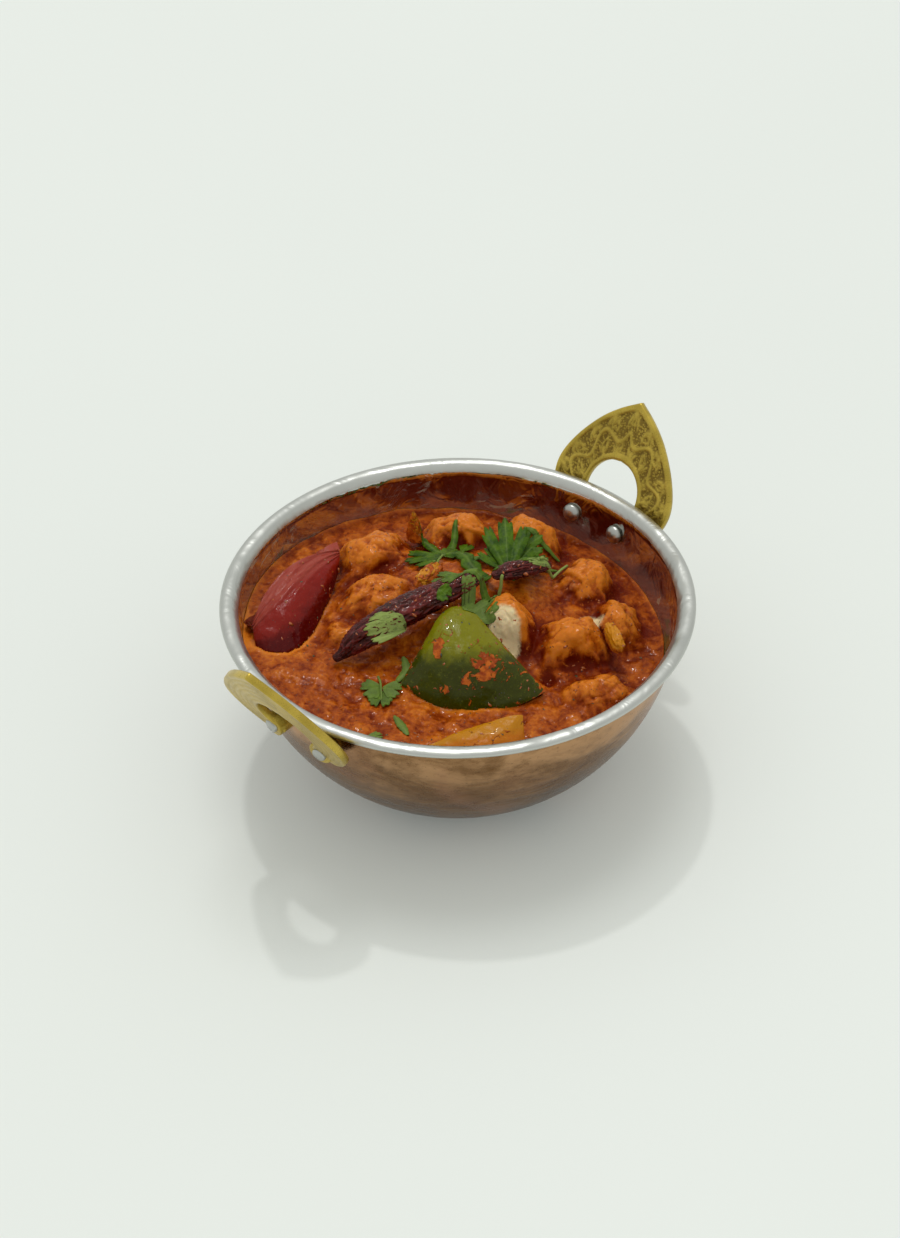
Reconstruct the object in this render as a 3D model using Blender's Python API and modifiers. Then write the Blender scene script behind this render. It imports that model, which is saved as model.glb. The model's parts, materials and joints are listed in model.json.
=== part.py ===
"""Chicken curry served in a copper and steel karahi with two pierced brass handles.

Everything is in metres with +Z up. The origin is the centre of the bowl's flat base, and the
handles stand on the X axis. The curry is laid out on its own pair of axes, turned about Z:
"right" runs along it and "away" runs across it, and heights are taken from the rim's middle.
"""

import math

import bmesh
import bpy
from mathutils import Matrix, Vector, noise

MM = 0.001
GAP = 0.3 * MM
GROWTH = 0.45 * MM
HANDLE_CLEARANCE = 0.48 * MM
GRAVY_CLEARANCE = 0.39 * MM
TURNS = 36

# The bowl: two spun skins on one sphere, the steel one rolled over the copper one at the rim.
RIM_RADIUS = 75.0 * MM
RIM_HEIGHT = 58.5 * MM
BEAD_WIDTH = 4.6 * MM
BEAD_THICKNESS = 2.7 * MM
SPHERE_RADIUS = 70.5 * MM
SPHERE_HEIGHT = RIM_HEIGHT + 2.0 * MM
SKIN = 0.5 * MM
BASE_RADIUS = 33.0 * MM
BASE_BEND = 1.6 * MM
COPPER_TOP = RIM_HEIGHT - 2.0 * MM
THROAT_DROP = 1.2 * MM
LINER_RADIUS = SPHERE_RADIUS - SKIN - GAP
HOLLOW_RADIUS = LINER_RADIUS - SKIN
LINER_FLOOR = SKIN + GAP
HOLLOW_FLOOR = LINER_FLOOR + SKIN

# The handles: cast arches that lean outwards, measured on their inner face from the rim's height.
HANDLE_REACH = 76.0 * MM
HANDLE_LEAN = math.radians(28)
HANDLE_THICKNESS = 2.6 * MM
HANDLE_OUTSIDE = ((0, 31), (6.6, 26.6), (12.6, 21.2), (18.4, 13.6), (22.3, 6.0), (23.4, -0.4),
                  (21.7, -6.8), (17.6, -11.8), (13.4, -14.4))
HANDLE_OPENING = (10.4 * MM, 11.2 * MM)
OPENING_HEIGHT = -1.0 * MM
HANDLE_FEET_INSIDE = ((7.4, -7.9), (5.6, -11.2), (8.2, -14.0))
HANDLE_STEPS = 11
BORDER = 1.5 * MM
RECESS = 0.6 * MM
BOSS_RADIUS = 4.0 * MM
BOSS_LENGTH = 6.0 * MM

# The rivets: one through each handle foot, square to the bowl's wall.
RIVET_ANGLE = math.radians(7.7)
RIVET_TILT = math.radians(10)
RIVET_HEIGHT = RIM_HEIGHT - 8.8 * MM
RIVET_RADIUS = 2.3 * MM
RIVET_HEAD_RADIUS = 3.1 * MM
RIVET_HEAD_HEIGHT = 2.1 * MM
RIVET_LENGTH = 7.8 * MM
RIVET_SINK = 0.66 * MM
RIVET_TURNS = 10

# The curry.
FOOD_TURN = math.radians(-48)
GRAVY_LEVEL = -17.0
GRAVY_FALL = 0.075
GRAVY_RINGS = 6
GRAVY_WALL_STEPS = 4
HEAP = {"height": 10.5, "right": 5.0, "away": 15.0, "wide": 38.0, "deep": 28.0}

# Chicken: name, centre (right, away, height), size, turn in degrees. Millimetres.
CHICKEN = (
    ("chicken_left_back", (-27, 33, -10.5), (27, 22, 20), 20),
    ("chicken_left_front", (-26, 10, -10.5), (24, 19, 17), -12),
    ("chicken_back", (0, 45, -12.0), (27, 19, 19), 0),
    ("chicken_back_right", (24, 40, -11.5), (23, 22, 20), -28),
    ("chicken_middle", (15, -4, -7.0), (19, 17, 17), 10),
    ("chicken_right_back", (42, 22, -13.5), (20, 23, 18), -20),
    ("chicken_right", (36, -7, -13.5), (25, 17, 17), 14),
    ("chicken_right_wall", (51, 6, -18.0), (16, 22, 16), 8),
    ("chicken_right_front", (44, -25, -21.5), (27, 16, 14), 28),
    ("chicken_small", (-37, -4, -14.0), (12, 12, 10), 30),
)
# Small cuts of yellow pepper, in the same columns.
YELLOW_CUTS = (
    ("yellow_pepper_strip", (49, -9, -11.5), (5, 12, 5), 15),
    ("yellow_pepper_back", (-14, 39.5, -2.5), (8, 4, 11), -15),
    ("yellow_pepper_middle", (-9, 13, -1.5), (6, 13, 5), -35),
)
CHUNK_CUTS = 2
CHUNK_ROUNDING = 0.55
CHUNK_UNEVEN = 0.09
CHUNK_SWELL = 1.12

# Vegetables: the two long edges of a bent sheet (start, middle, end), its bulge, and thickness.
GREEN_PEPPER = {
    "lower": ((-18, -25.5, -13), (2, -35.5, -18), (27, -28, -15)),
    "upper": ((-7, -12, 0.5), (-1, -7, 2.5), (6, -9, 0.5)),
    "bulge": (0, -5, 5),
    "thickness": 4.5,
}
RED_PEPPER = {
    "lower": ((-64, -9, -12.5), (-49.5, -8, -15.5), (-38, 25, -6.5)),
    "upper": ((-65, -2, -8), (-55, 17, -1), (-38, 29.5, -3)),
    "bulge": (1, -3, 3),
    "thickness": 3.5,
}
YELLOW_SLICE = {
    "lower": ((-12, -55, -16), (7, -58, -15), (20, -52, -16)),
    "upper": ((-9, -53, -14), (8, -46.5, -11.5), (19.5, -44, -10.5)),
    "bulge": (0, 0, 1.5),
    "thickness": 3.5,
}
SHEET_STEPS = (6, 3)

# Dried chillies: stations along each one as (right, away, height, radius).
LONG_CHILLI = ((-39, -17.5, -10, 1.0), (-36, -16, -8.6, 2.0), (-30, -13, -4.5, 4.6),
               (-18, -8, 0.6, 5.2), (-6, -2, 3.4, 4.6), (3, 3, 4.4, 3.4), (8, 6, 4.2, 1.0))
SHORT_CHILLI = ((11, 8, 2.6, 0.9), (14, 9.5, 2.4, 2.6), (20, 12, 2.2, 3.4), (26, 14.5, 1.6, 2.8),
                (30, 16, 0.6, 0.8))
CHILLI_SIDES = 10

STEEL = ("steel", (0.62, 0.63, 0.61), 0.22, 1.0)
COPPER = ("copper", (0.50, 0.28, 0.17), 0.34, 1.0)
BRASS = ("brass", (0.55, 0.42, 0.11), 0.33, 1.0)
GRAVY = ("gravy", (0.42, 0.105, 0.025), 0.30, 0.0)
MEAT = ("chicken", (0.50, 0.135, 0.035), 0.36, 0.0)
GREEN = ("green_pepper", (0.13, 0.19, 0.015), 0.22, 0.0)
RED = ("red_pepper", (0.26, 0.012, 0.010), 0.20, 0.0)
YELLOW = ("yellow_pepper", (0.70, 0.36, 0.03), 0.28, 0.0)
CHILLI = ("dried_chilli", (0.055, 0.010, 0.014), 0.24, 0.0)


def clear_scene():
    """Remove whatever the scene holds, so that only the dish is left in it."""
    for obj in list(bpy.data.objects):
        bpy.data.objects.remove(obj, do_unlink=True)


def new_collection(name):
    collection = bpy.data.collections.new(name)
    bpy.context.scene.collection.children.link(collection)
    return collection


def material(finish):
    """The Principled material of a (name, colour, roughness, metallic) finish, made once."""
    name, colour, roughness, metallic = finish
    found = bpy.data.materials.get(name)
    if found:
        return found
    made = bpy.data.materials.new(name)
    made.use_nodes = True
    shader = made.node_tree.nodes["Principled BSDF"]
    shader.inputs["Base Color"].default_value = (*colour, 1.0)
    shader.inputs["Roughness"].default_value = roughness
    shader.inputs["Metallic"].default_value = metallic
    made.diffuse_color = (*colour, 1.0)
    return made


def add_object(name, mesh, finish=None, parent=None):
    """Link a mesh as a part of the dish, or as a hidden cutter where it has no finish."""
    obj = bpy.data.objects.new(name, mesh)
    obj.parent = parent
    if finish:
        mesh.materials.append(material(finish))
        DISH.objects.link(obj)
    else:
        obj.hide_render = True
        obj.display_type = "WIRE"
        CUTTERS.objects.link(obj)
    return obj


def add_empty(name, matrix):
    empty = bpy.data.objects.new(name, None)
    empty.matrix_world = matrix
    DISH.objects.link(empty)
    return empty


def boolean(obj, other, operation="DIFFERENCE", solver="EXACT"):
    modifier = obj.modifiers.new(f"{operation.lower()}_{other.name}"[:60], "BOOLEAN")
    modifier.operation = operation
    modifier.solver = solver
    modifier.object = other


def settle(obj):
    """Replace an object's mesh with its evaluated one, so that later steps see the final shape."""
    bpy.context.view_layer.update()
    graph = bpy.context.evaluated_depsgraph_get()
    final = bpy.data.meshes.new_from_object(obj.evaluated_get(graph))
    obj.modifiers.clear()
    obj.data = final
    return obj


def mesh_from(bm, name):
    mesh = bpy.data.meshes.new(name)
    bm.to_mesh(mesh)
    bm.free()
    return mesh


def triangulate(obj):
    """Split an uneven piece's bent faces, so that every later cut sees the same flat ones."""
    bm = bmesh.new()
    bm.from_mesh(obj.data)
    bmesh.ops.triangulate(bm, faces=bm.faces[:])
    bm.to_mesh(obj.data)
    bm.free()


def turned(name, profile, turns, finish=None, parent=None):
    """A solid of revolution from an (r, z) profile that starts and ends on the Z axis."""
    bm = bmesh.new()
    points = [bm.verts.new((radius, 0, height)) for radius, height in profile]
    for start, end in zip(points, points[1:]):
        bm.edges.new((start, end))
    obj = add_object(name, mesh_from(bm, name), finish, parent)
    screw = obj.modifiers.new("turn", "SCREW")
    screw.steps = turns
    screw.render_steps = turns
    screw.use_merge_vertices = True
    screw.merge_threshold = 0.00001
    screw.use_smooth_shade = True
    return settle(obj)


def sphere_wall(radius, height):
    """Distance from the axis of a bowl skin of this sphere radius at this height."""
    return math.sqrt(radius**2 - (SPHERE_HEIGHT - height) ** 2)


def wall_run(radius, top, bottom, steps):
    """Points down a skin, evenly spaced along its arc."""
    first = math.asin((SPHERE_HEIGHT - top) / radius)
    last = math.asin((SPHERE_HEIGHT - bottom) / radius)
    angles = [first + (last - first) * i / steps for i in range(steps + 1)]
    return [(radius * math.cos(a), SPHERE_HEIGHT - radius * math.sin(a)) for a in angles]


def base_run(radius, floor):
    """Points from the foot of a skin's wall, round the bend, to the axis at its floor."""
    foot = sphere_wall(radius, floor + BASE_BEND)
    return [((foot + BASE_RADIUS) / 2, floor + 0.25 * BASE_BEND), (BASE_RADIUS, floor), (0, floor)]


def build_bowl():
    """The copper outer skin, and the steel liner whose edge rolls out over it as a bead."""
    inner = SPHERE_RADIUS - SKIN
    copper_inside = wall_run(inner, COPPER_TOP, SKIN + BASE_BEND, 5) + base_run(inner, SKIN)
    copper_outside = wall_run(SPHERE_RADIUS, COPPER_TOP, BASE_BEND, 5) + base_run(SPHERE_RADIUS, 0)
    copper = turned("bowl_copper_skin", copper_inside[::-1] + copper_outside, TURNS, COPPER)

    bead_centre = RIM_RADIUS - BEAD_WIDTH / 2
    bead = []
    for degrees in range(144, -145, -48):
        angle = math.radians(degrees)
        across = bead_centre + BEAD_WIDTH / 2 * math.cos(angle)
        bead.append((across, RIM_HEIGHT + BEAD_THICKNESS / 2 * math.sin(angle)))
    throat = RIM_HEIGHT - THROAT_DROP
    inside = wall_run(HOLLOW_RADIUS, throat, HOLLOW_FLOOR + BASE_BEND, 5)
    inside += base_run(HOLLOW_RADIUS, HOLLOW_FLOOR)
    outside = wall_run(LINER_RADIUS, throat, LINER_FLOOR + BASE_BEND, 5)
    outside += base_run(LINER_RADIUS, LINER_FLOOR)
    liner = turned("bowl_steel_liner", inside[::-1] + bead + outside, TURNS, STEEL)
    return copper, liner


def smooth_run(points, steps):
    """Catmull-Rom run through points, with the end tangents taken from the end spans."""
    points = [Vector(p) for p in points]
    padded = [2 * points[0] - points[1]] + points + [2 * points[-1] - points[-2]]
    run = []
    for i in range(steps + 1):
        place = i / steps * (len(points) - 1)
        span = min(int(place), len(points) - 2)
        t = place - span
        a, b, c, d = padded[span : span + 4]
        run.append(0.5 * (2 * b + (c - a) * t + (2 * a - 5 * b + 4 * c - d) * t**2
                          + (3 * b - a - 3 * c + d) * t**3))
    return run


def handle_edges():
    """Outer and inner edge of the arch's right half, from the crown down to the foot."""
    outside = [p * MM for p in smooth_run([(u, v, 0) for u, v in HANDLE_OUTSIDE], HANDLE_STEPS)]
    arch = []
    for degrees in range(90, -21, -22):
        angle = math.radians(degrees)
        arch.append((HANDLE_OPENING[0] * math.cos(angle),
                     OPENING_HEIGHT + HANDLE_OPENING[1] * math.sin(angle), 0))
    arch += [(u * MM, v * MM, 0) for u, v in HANDLE_FEET_INSIDE]
    return outside, smooth_run(arch, HANDLE_STEPS)


def handle_plate(name, parent):
    """The pointed arch: a strip of faces, thickened, with a sunk field inside a raised border."""
    outside, inside = handle_edges()
    bm = bmesh.new()
    rows = [(bm.verts.new(o), bm.verts.new(i)) for o, i in zip(outside, inside)]
    crown = rows[0]
    left = [(bm.verts.new((-o.x, o.y, 0)), bm.verts.new((-i.x, i.y, 0)))
            for o, i in zip(outside[1:], inside[1:])]
    for half in (rows, [crown] + left):
        for (o1, i1), (o2, i2) in zip(half, half[1:]):
            bm.faces.new((o1, o2, i2, i1))
    bmesh.ops.recalc_face_normals(bm, faces=bm.faces[:])
    if bm.faces[0].normal.z > 0:
        bmesh.ops.reverse_faces(bm, faces=bm.faces[:])
    front = bm.faces[:]
    grown = bmesh.ops.extrude_face_region(bm, geom=front, use_keep_orig=True)
    back = [v for v in grown["geom"] if isinstance(v, bmesh.types.BMVert)]
    bmesh.ops.translate(bm, verts=back, vec=(0, 0, HANDLE_THICKNESS))
    bmesh.ops.recalc_face_normals(bm, faces=bm.faces[:])
    bmesh.ops.inset_region(bm, faces=front, thickness=BORDER, depth=0, use_even_offset=True)
    bmesh.ops.inset_region(bm, faces=front, thickness=RECESS / 2, depth=-RECESS,
                           use_even_offset=True)
    return add_object(name, mesh_from(bm, name), BRASS, parent)


def rivet_frame(side):
    """Matrix of a rivet: +Z points along it into the bowl, and the origin is under its head."""
    turn = side * RIVET_ANGLE
    outward = Vector((math.cos(turn) * math.cos(RIVET_TILT), math.sin(turn) * math.cos(RIVET_TILT),
                      -math.sin(RIVET_TILT)))
    reach = sphere_wall(HOLLOW_RADIUS, RIVET_HEIGHT) - RIVET_SINK
    seat = Vector((reach * math.cos(turn), reach * math.sin(turn), RIVET_HEIGHT))
    return Matrix.Translation(seat) @ (-outward).to_track_quat("Z", "Y").to_matrix().to_4x4()


def cylinder(name, radius, low, high, parent, matrix, turns=RIVET_TURNS):
    """A hidden cylinder along its own Z axis, used to cut holes and to add bosses."""
    bm = bmesh.new()
    place = Matrix.Translation((0, 0, (low + high) / 2))
    bmesh.ops.create_cone(bm, cap_ends=True, segments=turns, radius1=radius, radius2=radius,
                          depth=high - low, matrix=place)
    obj = add_object(name, mesh_from(bm, name), None, parent)
    obj.matrix_local = matrix
    return obj


def rivet_profile():
    """Domed head, straight shank and flat tail, as radii and heights."""
    dome = []
    for i in range(4):
        angle = math.radians(90 - 30 * i)
        dome.append((RIVET_HEAD_RADIUS * math.cos(angle), RIVET_HEAD_HEIGHT * math.sin(angle)))
    dome[0] = (0, RIVET_HEAD_HEIGHT)
    return dome + [(RIVET_RADIUS, 0), (RIVET_RADIUS, -RIVET_LENGTH), (0, -RIVET_LENGTH)]


def build_handle(label, degrees, skins):
    """One brass handle with its two rivets, and the holes that these need in both skins."""
    stand = add_empty(f"{label}_handle_stand", Matrix.Rotation(math.radians(degrees), 4, "Z"))
    plate = handle_plate(f"handle_{label}", stand)
    lean = Matrix((
        (0, math.sin(HANDLE_LEAN), math.cos(HANDLE_LEAN), HANDLE_REACH),
        (1, 0, 0, 0),
        (0, math.cos(HANDLE_LEAN), -math.sin(HANDLE_LEAN), RIM_HEIGHT),
        (0, 0, 0, 1),
    ))
    plate.matrix_local = lean
    keep_off = bmesh.new()
    bmesh.ops.create_uvsphere(keep_off, u_segments=80, v_segments=40,
                              radius=SPHERE_RADIUS + HANDLE_CLEARANCE)
    ball = add_object(f"{label}_handle_ball", mesh_from(keep_off, "ball"), None, stand)
    ball.matrix_local = Matrix.Translation((0, 0, SPHERE_HEIGHT))
    holes = []
    for side in (-1, 1):
        frame = rivet_frame(side)
        tag = f"{label}_{'near' if side < 0 else 'far'}"
        boss = cylinder(f"{tag}_boss", BOSS_RADIUS, -BOSS_LENGTH, 0, stand, frame)
        boolean(plate, boss, "UNION")
        hole = cylinder(f"{tag}_hole", RIVET_RADIUS + GAP, -3 * RIVET_LENGTH, 2 * RIVET_LENGTH,
                        stand, frame)
        holes.append(hole)
        rivet = turned(f"rivet_{tag}", rivet_profile(), RIVET_TURNS, STEEL, stand)
        rivet.matrix_local = frame
    for cutter in [ball, *holes]:
        boolean(plate, cutter)
    for skin in skins:
        for hole in holes:
            boolean(skin, hole)


def chunk(name, centre, size, turn, finish):
    """A hand-cut piece of food: a rounded, uneven block."""
    bm = bmesh.new()
    bmesh.ops.create_cube(bm, size=2)
    bmesh.ops.subdivide_edges(bm, edges=bm.edges[:], cuts=CHUNK_CUTS, use_grid_fill=True)
    seed = Vector(centre) * 3.1
    for vert in bm.verts:
        block = vert.co.copy()
        ball = block.normalized()
        vert.co = block.lerp(ball * CHUNK_SWELL, CHUNK_ROUNDING)
        vert.co *= 1 + CHUNK_UNEVEN * noise.noise(ball * 1.7 + seed)
    bmesh.ops.scale(bm, verts=bm.verts[:], vec=[s * MM / 2 for s in size])
    piece = add_object(name, mesh_from(bm, name), finish, FOOD)
    piece.rotation_euler = (0, 0, math.radians(turn))
    piece.location = Vector(centre) * MM
    return piece


def quadratic(points, t):
    """Point at t on the curve that passes through start, middle and end."""
    a, b, c = (Vector(p) for p in points)
    return a * (1 - t) * (1 - 2 * t) + b * 4 * t * (1 - t) + c * t * (2 * t - 1)


def bent_sheet(name, form, finish):
    """A slice of pepper: a sheet between two curved edges, bulged and thickened inwards."""
    across, up = SHEET_STEPS
    bulge = Vector(form["bulge"])
    bm = bmesh.new()
    bmesh.ops.create_grid(bm, x_segments=across, y_segments=up, size=0.5)
    for vert in bm.verts:
        a, b = vert.co.x + 0.5, vert.co.y + 0.5
        low, high = quadratic(form["lower"], a), quadratic(form["upper"], a)
        swell = 16 * a * (1 - a) * b * (1 - b)
        vert.co = (low.lerp(high, b) + bulge * swell) * MM
    bmesh.ops.recalc_face_normals(bm, faces=bm.faces[:])
    if sum(face.normal.dot(bulge) for face in bm.faces) < 0:
        bmesh.ops.reverse_faces(bm, faces=bm.faces[:])
    piece = add_object(name, mesh_from(bm, name), finish, FOOD)
    wall = piece.modifiers.new("wall", "SOLIDIFY")
    wall.thickness = form["thickness"] * MM
    wall.offset = -1
    return settle(piece)


def chilli(name, stations):
    """A dried chilli: a tube that swells and tapers along its stations."""
    curve = bpy.data.curves.new(name, "CURVE")
    curve.dimensions = "3D"
    curve.bevel_depth = MM
    curve.bevel_resolution = (CHILLI_SIDES - 4) // 2
    curve.use_fill_caps = True
    run = smooth_run([station[:3] for station in stations], 2 * (len(stations) - 1))
    swell = smooth_run([(station[3], 0, 0) for station in stations], 2 * (len(stations) - 1))
    spline = curve.splines.new("POLY")
    spline.points.add(len(run) - 1)
    for point, place, radius in zip(spline.points, run, swell):
        point.co = (*(place * MM), 1)
        point.radius = radius.x
    guide = bpy.data.objects.new(f"{name}_guide", curve)
    CUTTERS.objects.link(guide)
    bpy.context.view_layer.update()
    graph = bpy.context.evaluated_depsgraph_get()
    mesh = bpy.data.meshes.new_from_object(guide.evaluated_get(graph))
    bpy.data.objects.remove(guide)
    bm = bmesh.new()
    bm.from_mesh(mesh)
    bmesh.ops.remove_doubles(bm, verts=bm.verts[:], dist=0.00001)
    bmesh.ops.recalc_face_normals(bm, faces=bm.faces[:])
    mesh = mesh_from(bm, name)
    return add_object(name, mesh, CHILLI, FOOD)


def drop_crumbs(obj):
    """Keep only the largest connected body of a mesh, without the slivers that cuts leave."""
    settle(obj)
    bm = bmesh.new()
    bm.from_mesh(obj.data)
    bodies = []
    left = set(bm.verts)
    while left:
        body = {left.pop()}
        edge_of_body = list(body)
        while edge_of_body:
            vert = edge_of_body.pop()
            near = {edge.other_vert(vert) for edge in vert.link_edges} - body
            body |= near
            edge_of_body.extend(near)
        left -= body
        bodies.append(body)
    largest = max(bodies, key=len)
    crumbs = [vert for body in bodies if body is not largest for vert in body]
    bmesh.ops.delete(bm, geom=crumbs, context="VERTS")
    bm.to_mesh(obj.data)
    bm.free()


def grown(piece):
    """A hidden copy of a piece, larger by the gap that its neighbours keep."""
    bm = bmesh.new()
    bm.from_mesh(piece.data)
    bm.normal_update()
    shifts = [(vert, vert.normal.copy()) for vert in bm.verts]
    for vert, normal in shifts:
        vert.co += normal * GROWTH
    cutter = add_object(f"{piece.name}_grown", mesh_from(bm, "grown"), None, FOOD)
    cutter.location = piece.location
    cutter.rotation_euler = piece.rotation_euler
    return cutter


def corners(obj):
    """Lowest and highest corner of an object's mesh in the world."""
    points = [obj.matrix_world @ vert.co for vert in obj.data.vertices]
    low = Vector([min(p[i] for p in points) for i in range(3)])
    high = Vector([max(p[i] for p in points) for i in range(3)])
    return low, high


def boxes_meet(one, other):
    low, high = corners(one)
    other_low, other_high = corners(other)
    return all(low[i] < other_high[i] and other_low[i] < high[i] for i in range(3))


def gravy_height(right, away):
    """Height of the gravy's surface, from the rim, in millimetres."""
    x = (right - HEAP["right"]) / HEAP["wide"]
    y = (away - HEAP["away"]) / HEAP["deep"]
    return GRAVY_LEVEL - GRAVY_FALL * right + HEAP["height"] * math.exp(-(x * x + y * y))


def build_gravy(cutters):
    """The sauce: it fills the bowl up to a heaped, sloping surface, cut round every piece."""
    profile = [(i / GRAVY_RINGS, 1) for i in range(GRAVY_RINGS + 1)]
    profile += [(1, 1 - i / GRAVY_WALL_STEPS) for i in range(1, GRAVY_WALL_STEPS + 1)]
    profile += [(0, 0)]
    gravy = turned("gravy", profile, TURNS, GRAVY)
    radius = HOLLOW_RADIUS - GRAVY_CLEARANCE
    floor = HOLLOW_FLOOR + GRAVY_CLEARANCE
    back = Matrix.Rotation(-FOOD_TURN, 3, "Z")
    for vert in gravy.data.vertices:
        across, up = math.hypot(vert.co.x, vert.co.y), vert.co.z
        way = Vector((vert.co.x, vert.co.y, 0)).normalized()
        edge = back @ way * sphere_wall(radius, RIM_HEIGHT + GRAVY_LEVEL * MM) / MM
        level = RIM_HEIGHT + gravy_height(edge.x, edge.y) * MM
        if up > 0.999:
            place = way * across * sphere_wall(radius, level)
            spot = back @ place / MM
            vert.co = (place.x, place.y, RIM_HEIGHT + gravy_height(spot.x, spot.y) * MM)
        else:
            height = floor + (level - floor) * up
            reach = BASE_RADIUS if up < 0.001 else sphere_wall(radius, max(height, floor + BASE_BEND))
            place = way * reach * across
            vert.co = (place.x, place.y, height)
    triangulate(gravy)
    for cutter in cutters:
        boolean(gravy, cutter, solver="MANIFOLD")
    drop_crumbs(gravy)


def build_food():
    """Every piece in the curry, each cut back to leave its gap round the pieces before it."""
    pieces = [
        chilli("chilli_long", LONG_CHILLI),
        chilli("chilli_short", SHORT_CHILLI),
        bent_sheet("green_pepper", GREEN_PEPPER, GREEN),
        bent_sheet("red_pepper", RED_PEPPER, RED),
        bent_sheet("yellow_pepper_front", YELLOW_SLICE, YELLOW),
    ]
    pieces += [chunk(*entry, YELLOW) for entry in YELLOW_CUTS]
    pieces += [chunk(*entry, MEAT) for entry in CHICKEN]
    for piece in pieces:
        triangulate(piece)
    bpy.context.view_layer.update()
    cutters = [grown(piece) for piece in pieces]
    bpy.context.view_layer.update()
    for place, piece in enumerate(pieces):
        for cutter in cutters[:place]:
            if boxes_meet(piece, cutter):
                boolean(piece, cutter, solver="MANIFOLD")
        drop_crumbs(piece)
    return cutters


clear_scene()
DISH = new_collection("chicken_curry")
CUTTERS = new_collection("cutters")
RIM_CENTRE = Matrix.Translation((0, 0, RIM_HEIGHT))
FOOD = add_empty("food_axes", RIM_CENTRE @ Matrix.Rotation(FOOD_TURN, 4, "Z"))
bpy.context.view_layer.update()
SKINS = build_bowl()
build_handle("right", 0, SKINS)
build_handle("left", 180, SKINS)
build_gravy(build_food())
for part in DISH.objects:
    if part.type == "MESH":
        part.data.shade_smooth()
        part.data.set_sharp_from_angle(angle=math.radians(40))
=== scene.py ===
"""Chicken curry in a copper and steel karahi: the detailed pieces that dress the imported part."""

import json
import logging
import math
from dataclasses import dataclass, field
from enum import Enum

import bmesh
import bpy
import numpy as np
from mathutils import Matrix, Vector
from mathutils.bvhtree import BVHTree

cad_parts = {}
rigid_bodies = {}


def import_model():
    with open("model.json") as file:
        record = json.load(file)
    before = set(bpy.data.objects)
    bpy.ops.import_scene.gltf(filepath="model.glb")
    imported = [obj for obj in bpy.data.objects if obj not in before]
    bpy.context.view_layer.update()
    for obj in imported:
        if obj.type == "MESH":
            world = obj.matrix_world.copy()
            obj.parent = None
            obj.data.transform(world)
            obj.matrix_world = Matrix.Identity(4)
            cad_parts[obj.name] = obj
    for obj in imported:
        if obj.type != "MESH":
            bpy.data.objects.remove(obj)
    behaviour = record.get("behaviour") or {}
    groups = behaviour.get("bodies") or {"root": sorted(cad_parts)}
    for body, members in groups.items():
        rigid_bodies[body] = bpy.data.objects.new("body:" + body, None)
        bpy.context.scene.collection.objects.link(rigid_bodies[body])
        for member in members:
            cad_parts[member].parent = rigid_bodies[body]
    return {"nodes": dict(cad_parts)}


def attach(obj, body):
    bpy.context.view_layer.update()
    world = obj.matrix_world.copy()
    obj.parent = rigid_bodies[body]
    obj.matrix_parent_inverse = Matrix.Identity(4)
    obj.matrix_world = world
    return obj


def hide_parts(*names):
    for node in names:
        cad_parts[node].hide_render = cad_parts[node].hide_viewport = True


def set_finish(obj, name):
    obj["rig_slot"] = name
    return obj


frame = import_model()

LOG = logging.getLogger("karahi")
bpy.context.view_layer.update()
MM = 0.001
RIM_HEIGHT = 0.0585
FOOD_TURN = math.radians(-48.0)
Colour = tuple[float, float, float]
Point = tuple[float, float, float]


class Slot(Enum):
    """Material slots of the record that pieces take their finish from."""

    STEEL = "steel"
    COPPER = "copper"
    BRASS = "brass"
    GRAVY = "gravy"
    CHICKEN = "chicken"
    GREEN = "green_pepper"
    RED = "red_pepper"
    YELLOW = "yellow_pepper"
    CHILLI = "dried_chilli"
    CORIANDER = "coriander"


class Side(Enum):
    """The two handles, with the turn about the vertical that places each."""

    RIGHT = 0.0
    LEFT = 180.0


# --------------------------------------------------------------------------- small tools


def food_to_world(points: np.ndarray) -> np.ndarray:
    """Turn points of the food axes into the part's own frame.

    Args:
        points: Rows of right, away and height above the rim's middle, in millimetres.

    Returns:
        The same points in metres.
    """
    cos, sin = math.cos(FOOD_TURN), math.sin(FOOD_TURN)
    right, away, height = points[:, 0], points[:, 1], points[:, 2]
    across = (right * cos - away * sin) * MM
    along = (right * sin + away * cos) * MM
    return np.stack([across, along, height * MM + RIM_HEIGHT], axis=1)


def world_to_food(points: np.ndarray) -> np.ndarray:
    """Turn points of the part's frame into right, away and height in millimetres.

    Args:
        points: Rows of x, y and z in metres.

    Returns:
        The same points on the food axes.
    """
    cos, sin = math.cos(FOOD_TURN), math.sin(FOOD_TURN)
    x, y, z = points[:, 0] / MM, points[:, 1] / MM, points[:, 2]
    return np.stack([x * cos + y * sin, -x * sin + y * cos, (z - RIM_HEIGHT) / MM], axis=1)


def smooth_step(low: float, high: float, value: np.ndarray) -> np.ndarray:
    """Ease from 0 at low to 1 at high.

    Args:
        low: Where the result starts to rise.
        high: Where it reaches 1.
        value: Any array.

    Returns:
        An array of the same shape.
    """
    t = np.clip((value - low) / (high - low), 0.0, 1.0)
    return t * t * (3.0 - 2.0 * t)


def smooth_run(points: list[Point], steps: int) -> list[Vector]:
    """Catmull-Rom run through points.

    Args:
        points: The points that it passes through.
        steps: How many spans the run is given.

    Returns:
        One more point than there are spans.
    """
    known = [Vector(p) for p in points]
    padded = [2 * known[0] - known[1]] + known + [2 * known[-1] - known[-2]]
    run = []
    for i in range(steps + 1):
        place = i / steps * (len(known) - 1)
        span = min(int(place), len(known) - 2)
        t = place - span
        a, b, c, d = padded[span : span + 4]
        run.append(0.5 * (2 * b + (c - a) * t + (2 * a - 5 * b + 4 * c - d) * t**2
                          + (3 * b - a - 3 * c + d) * t**3))
    return run


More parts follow.
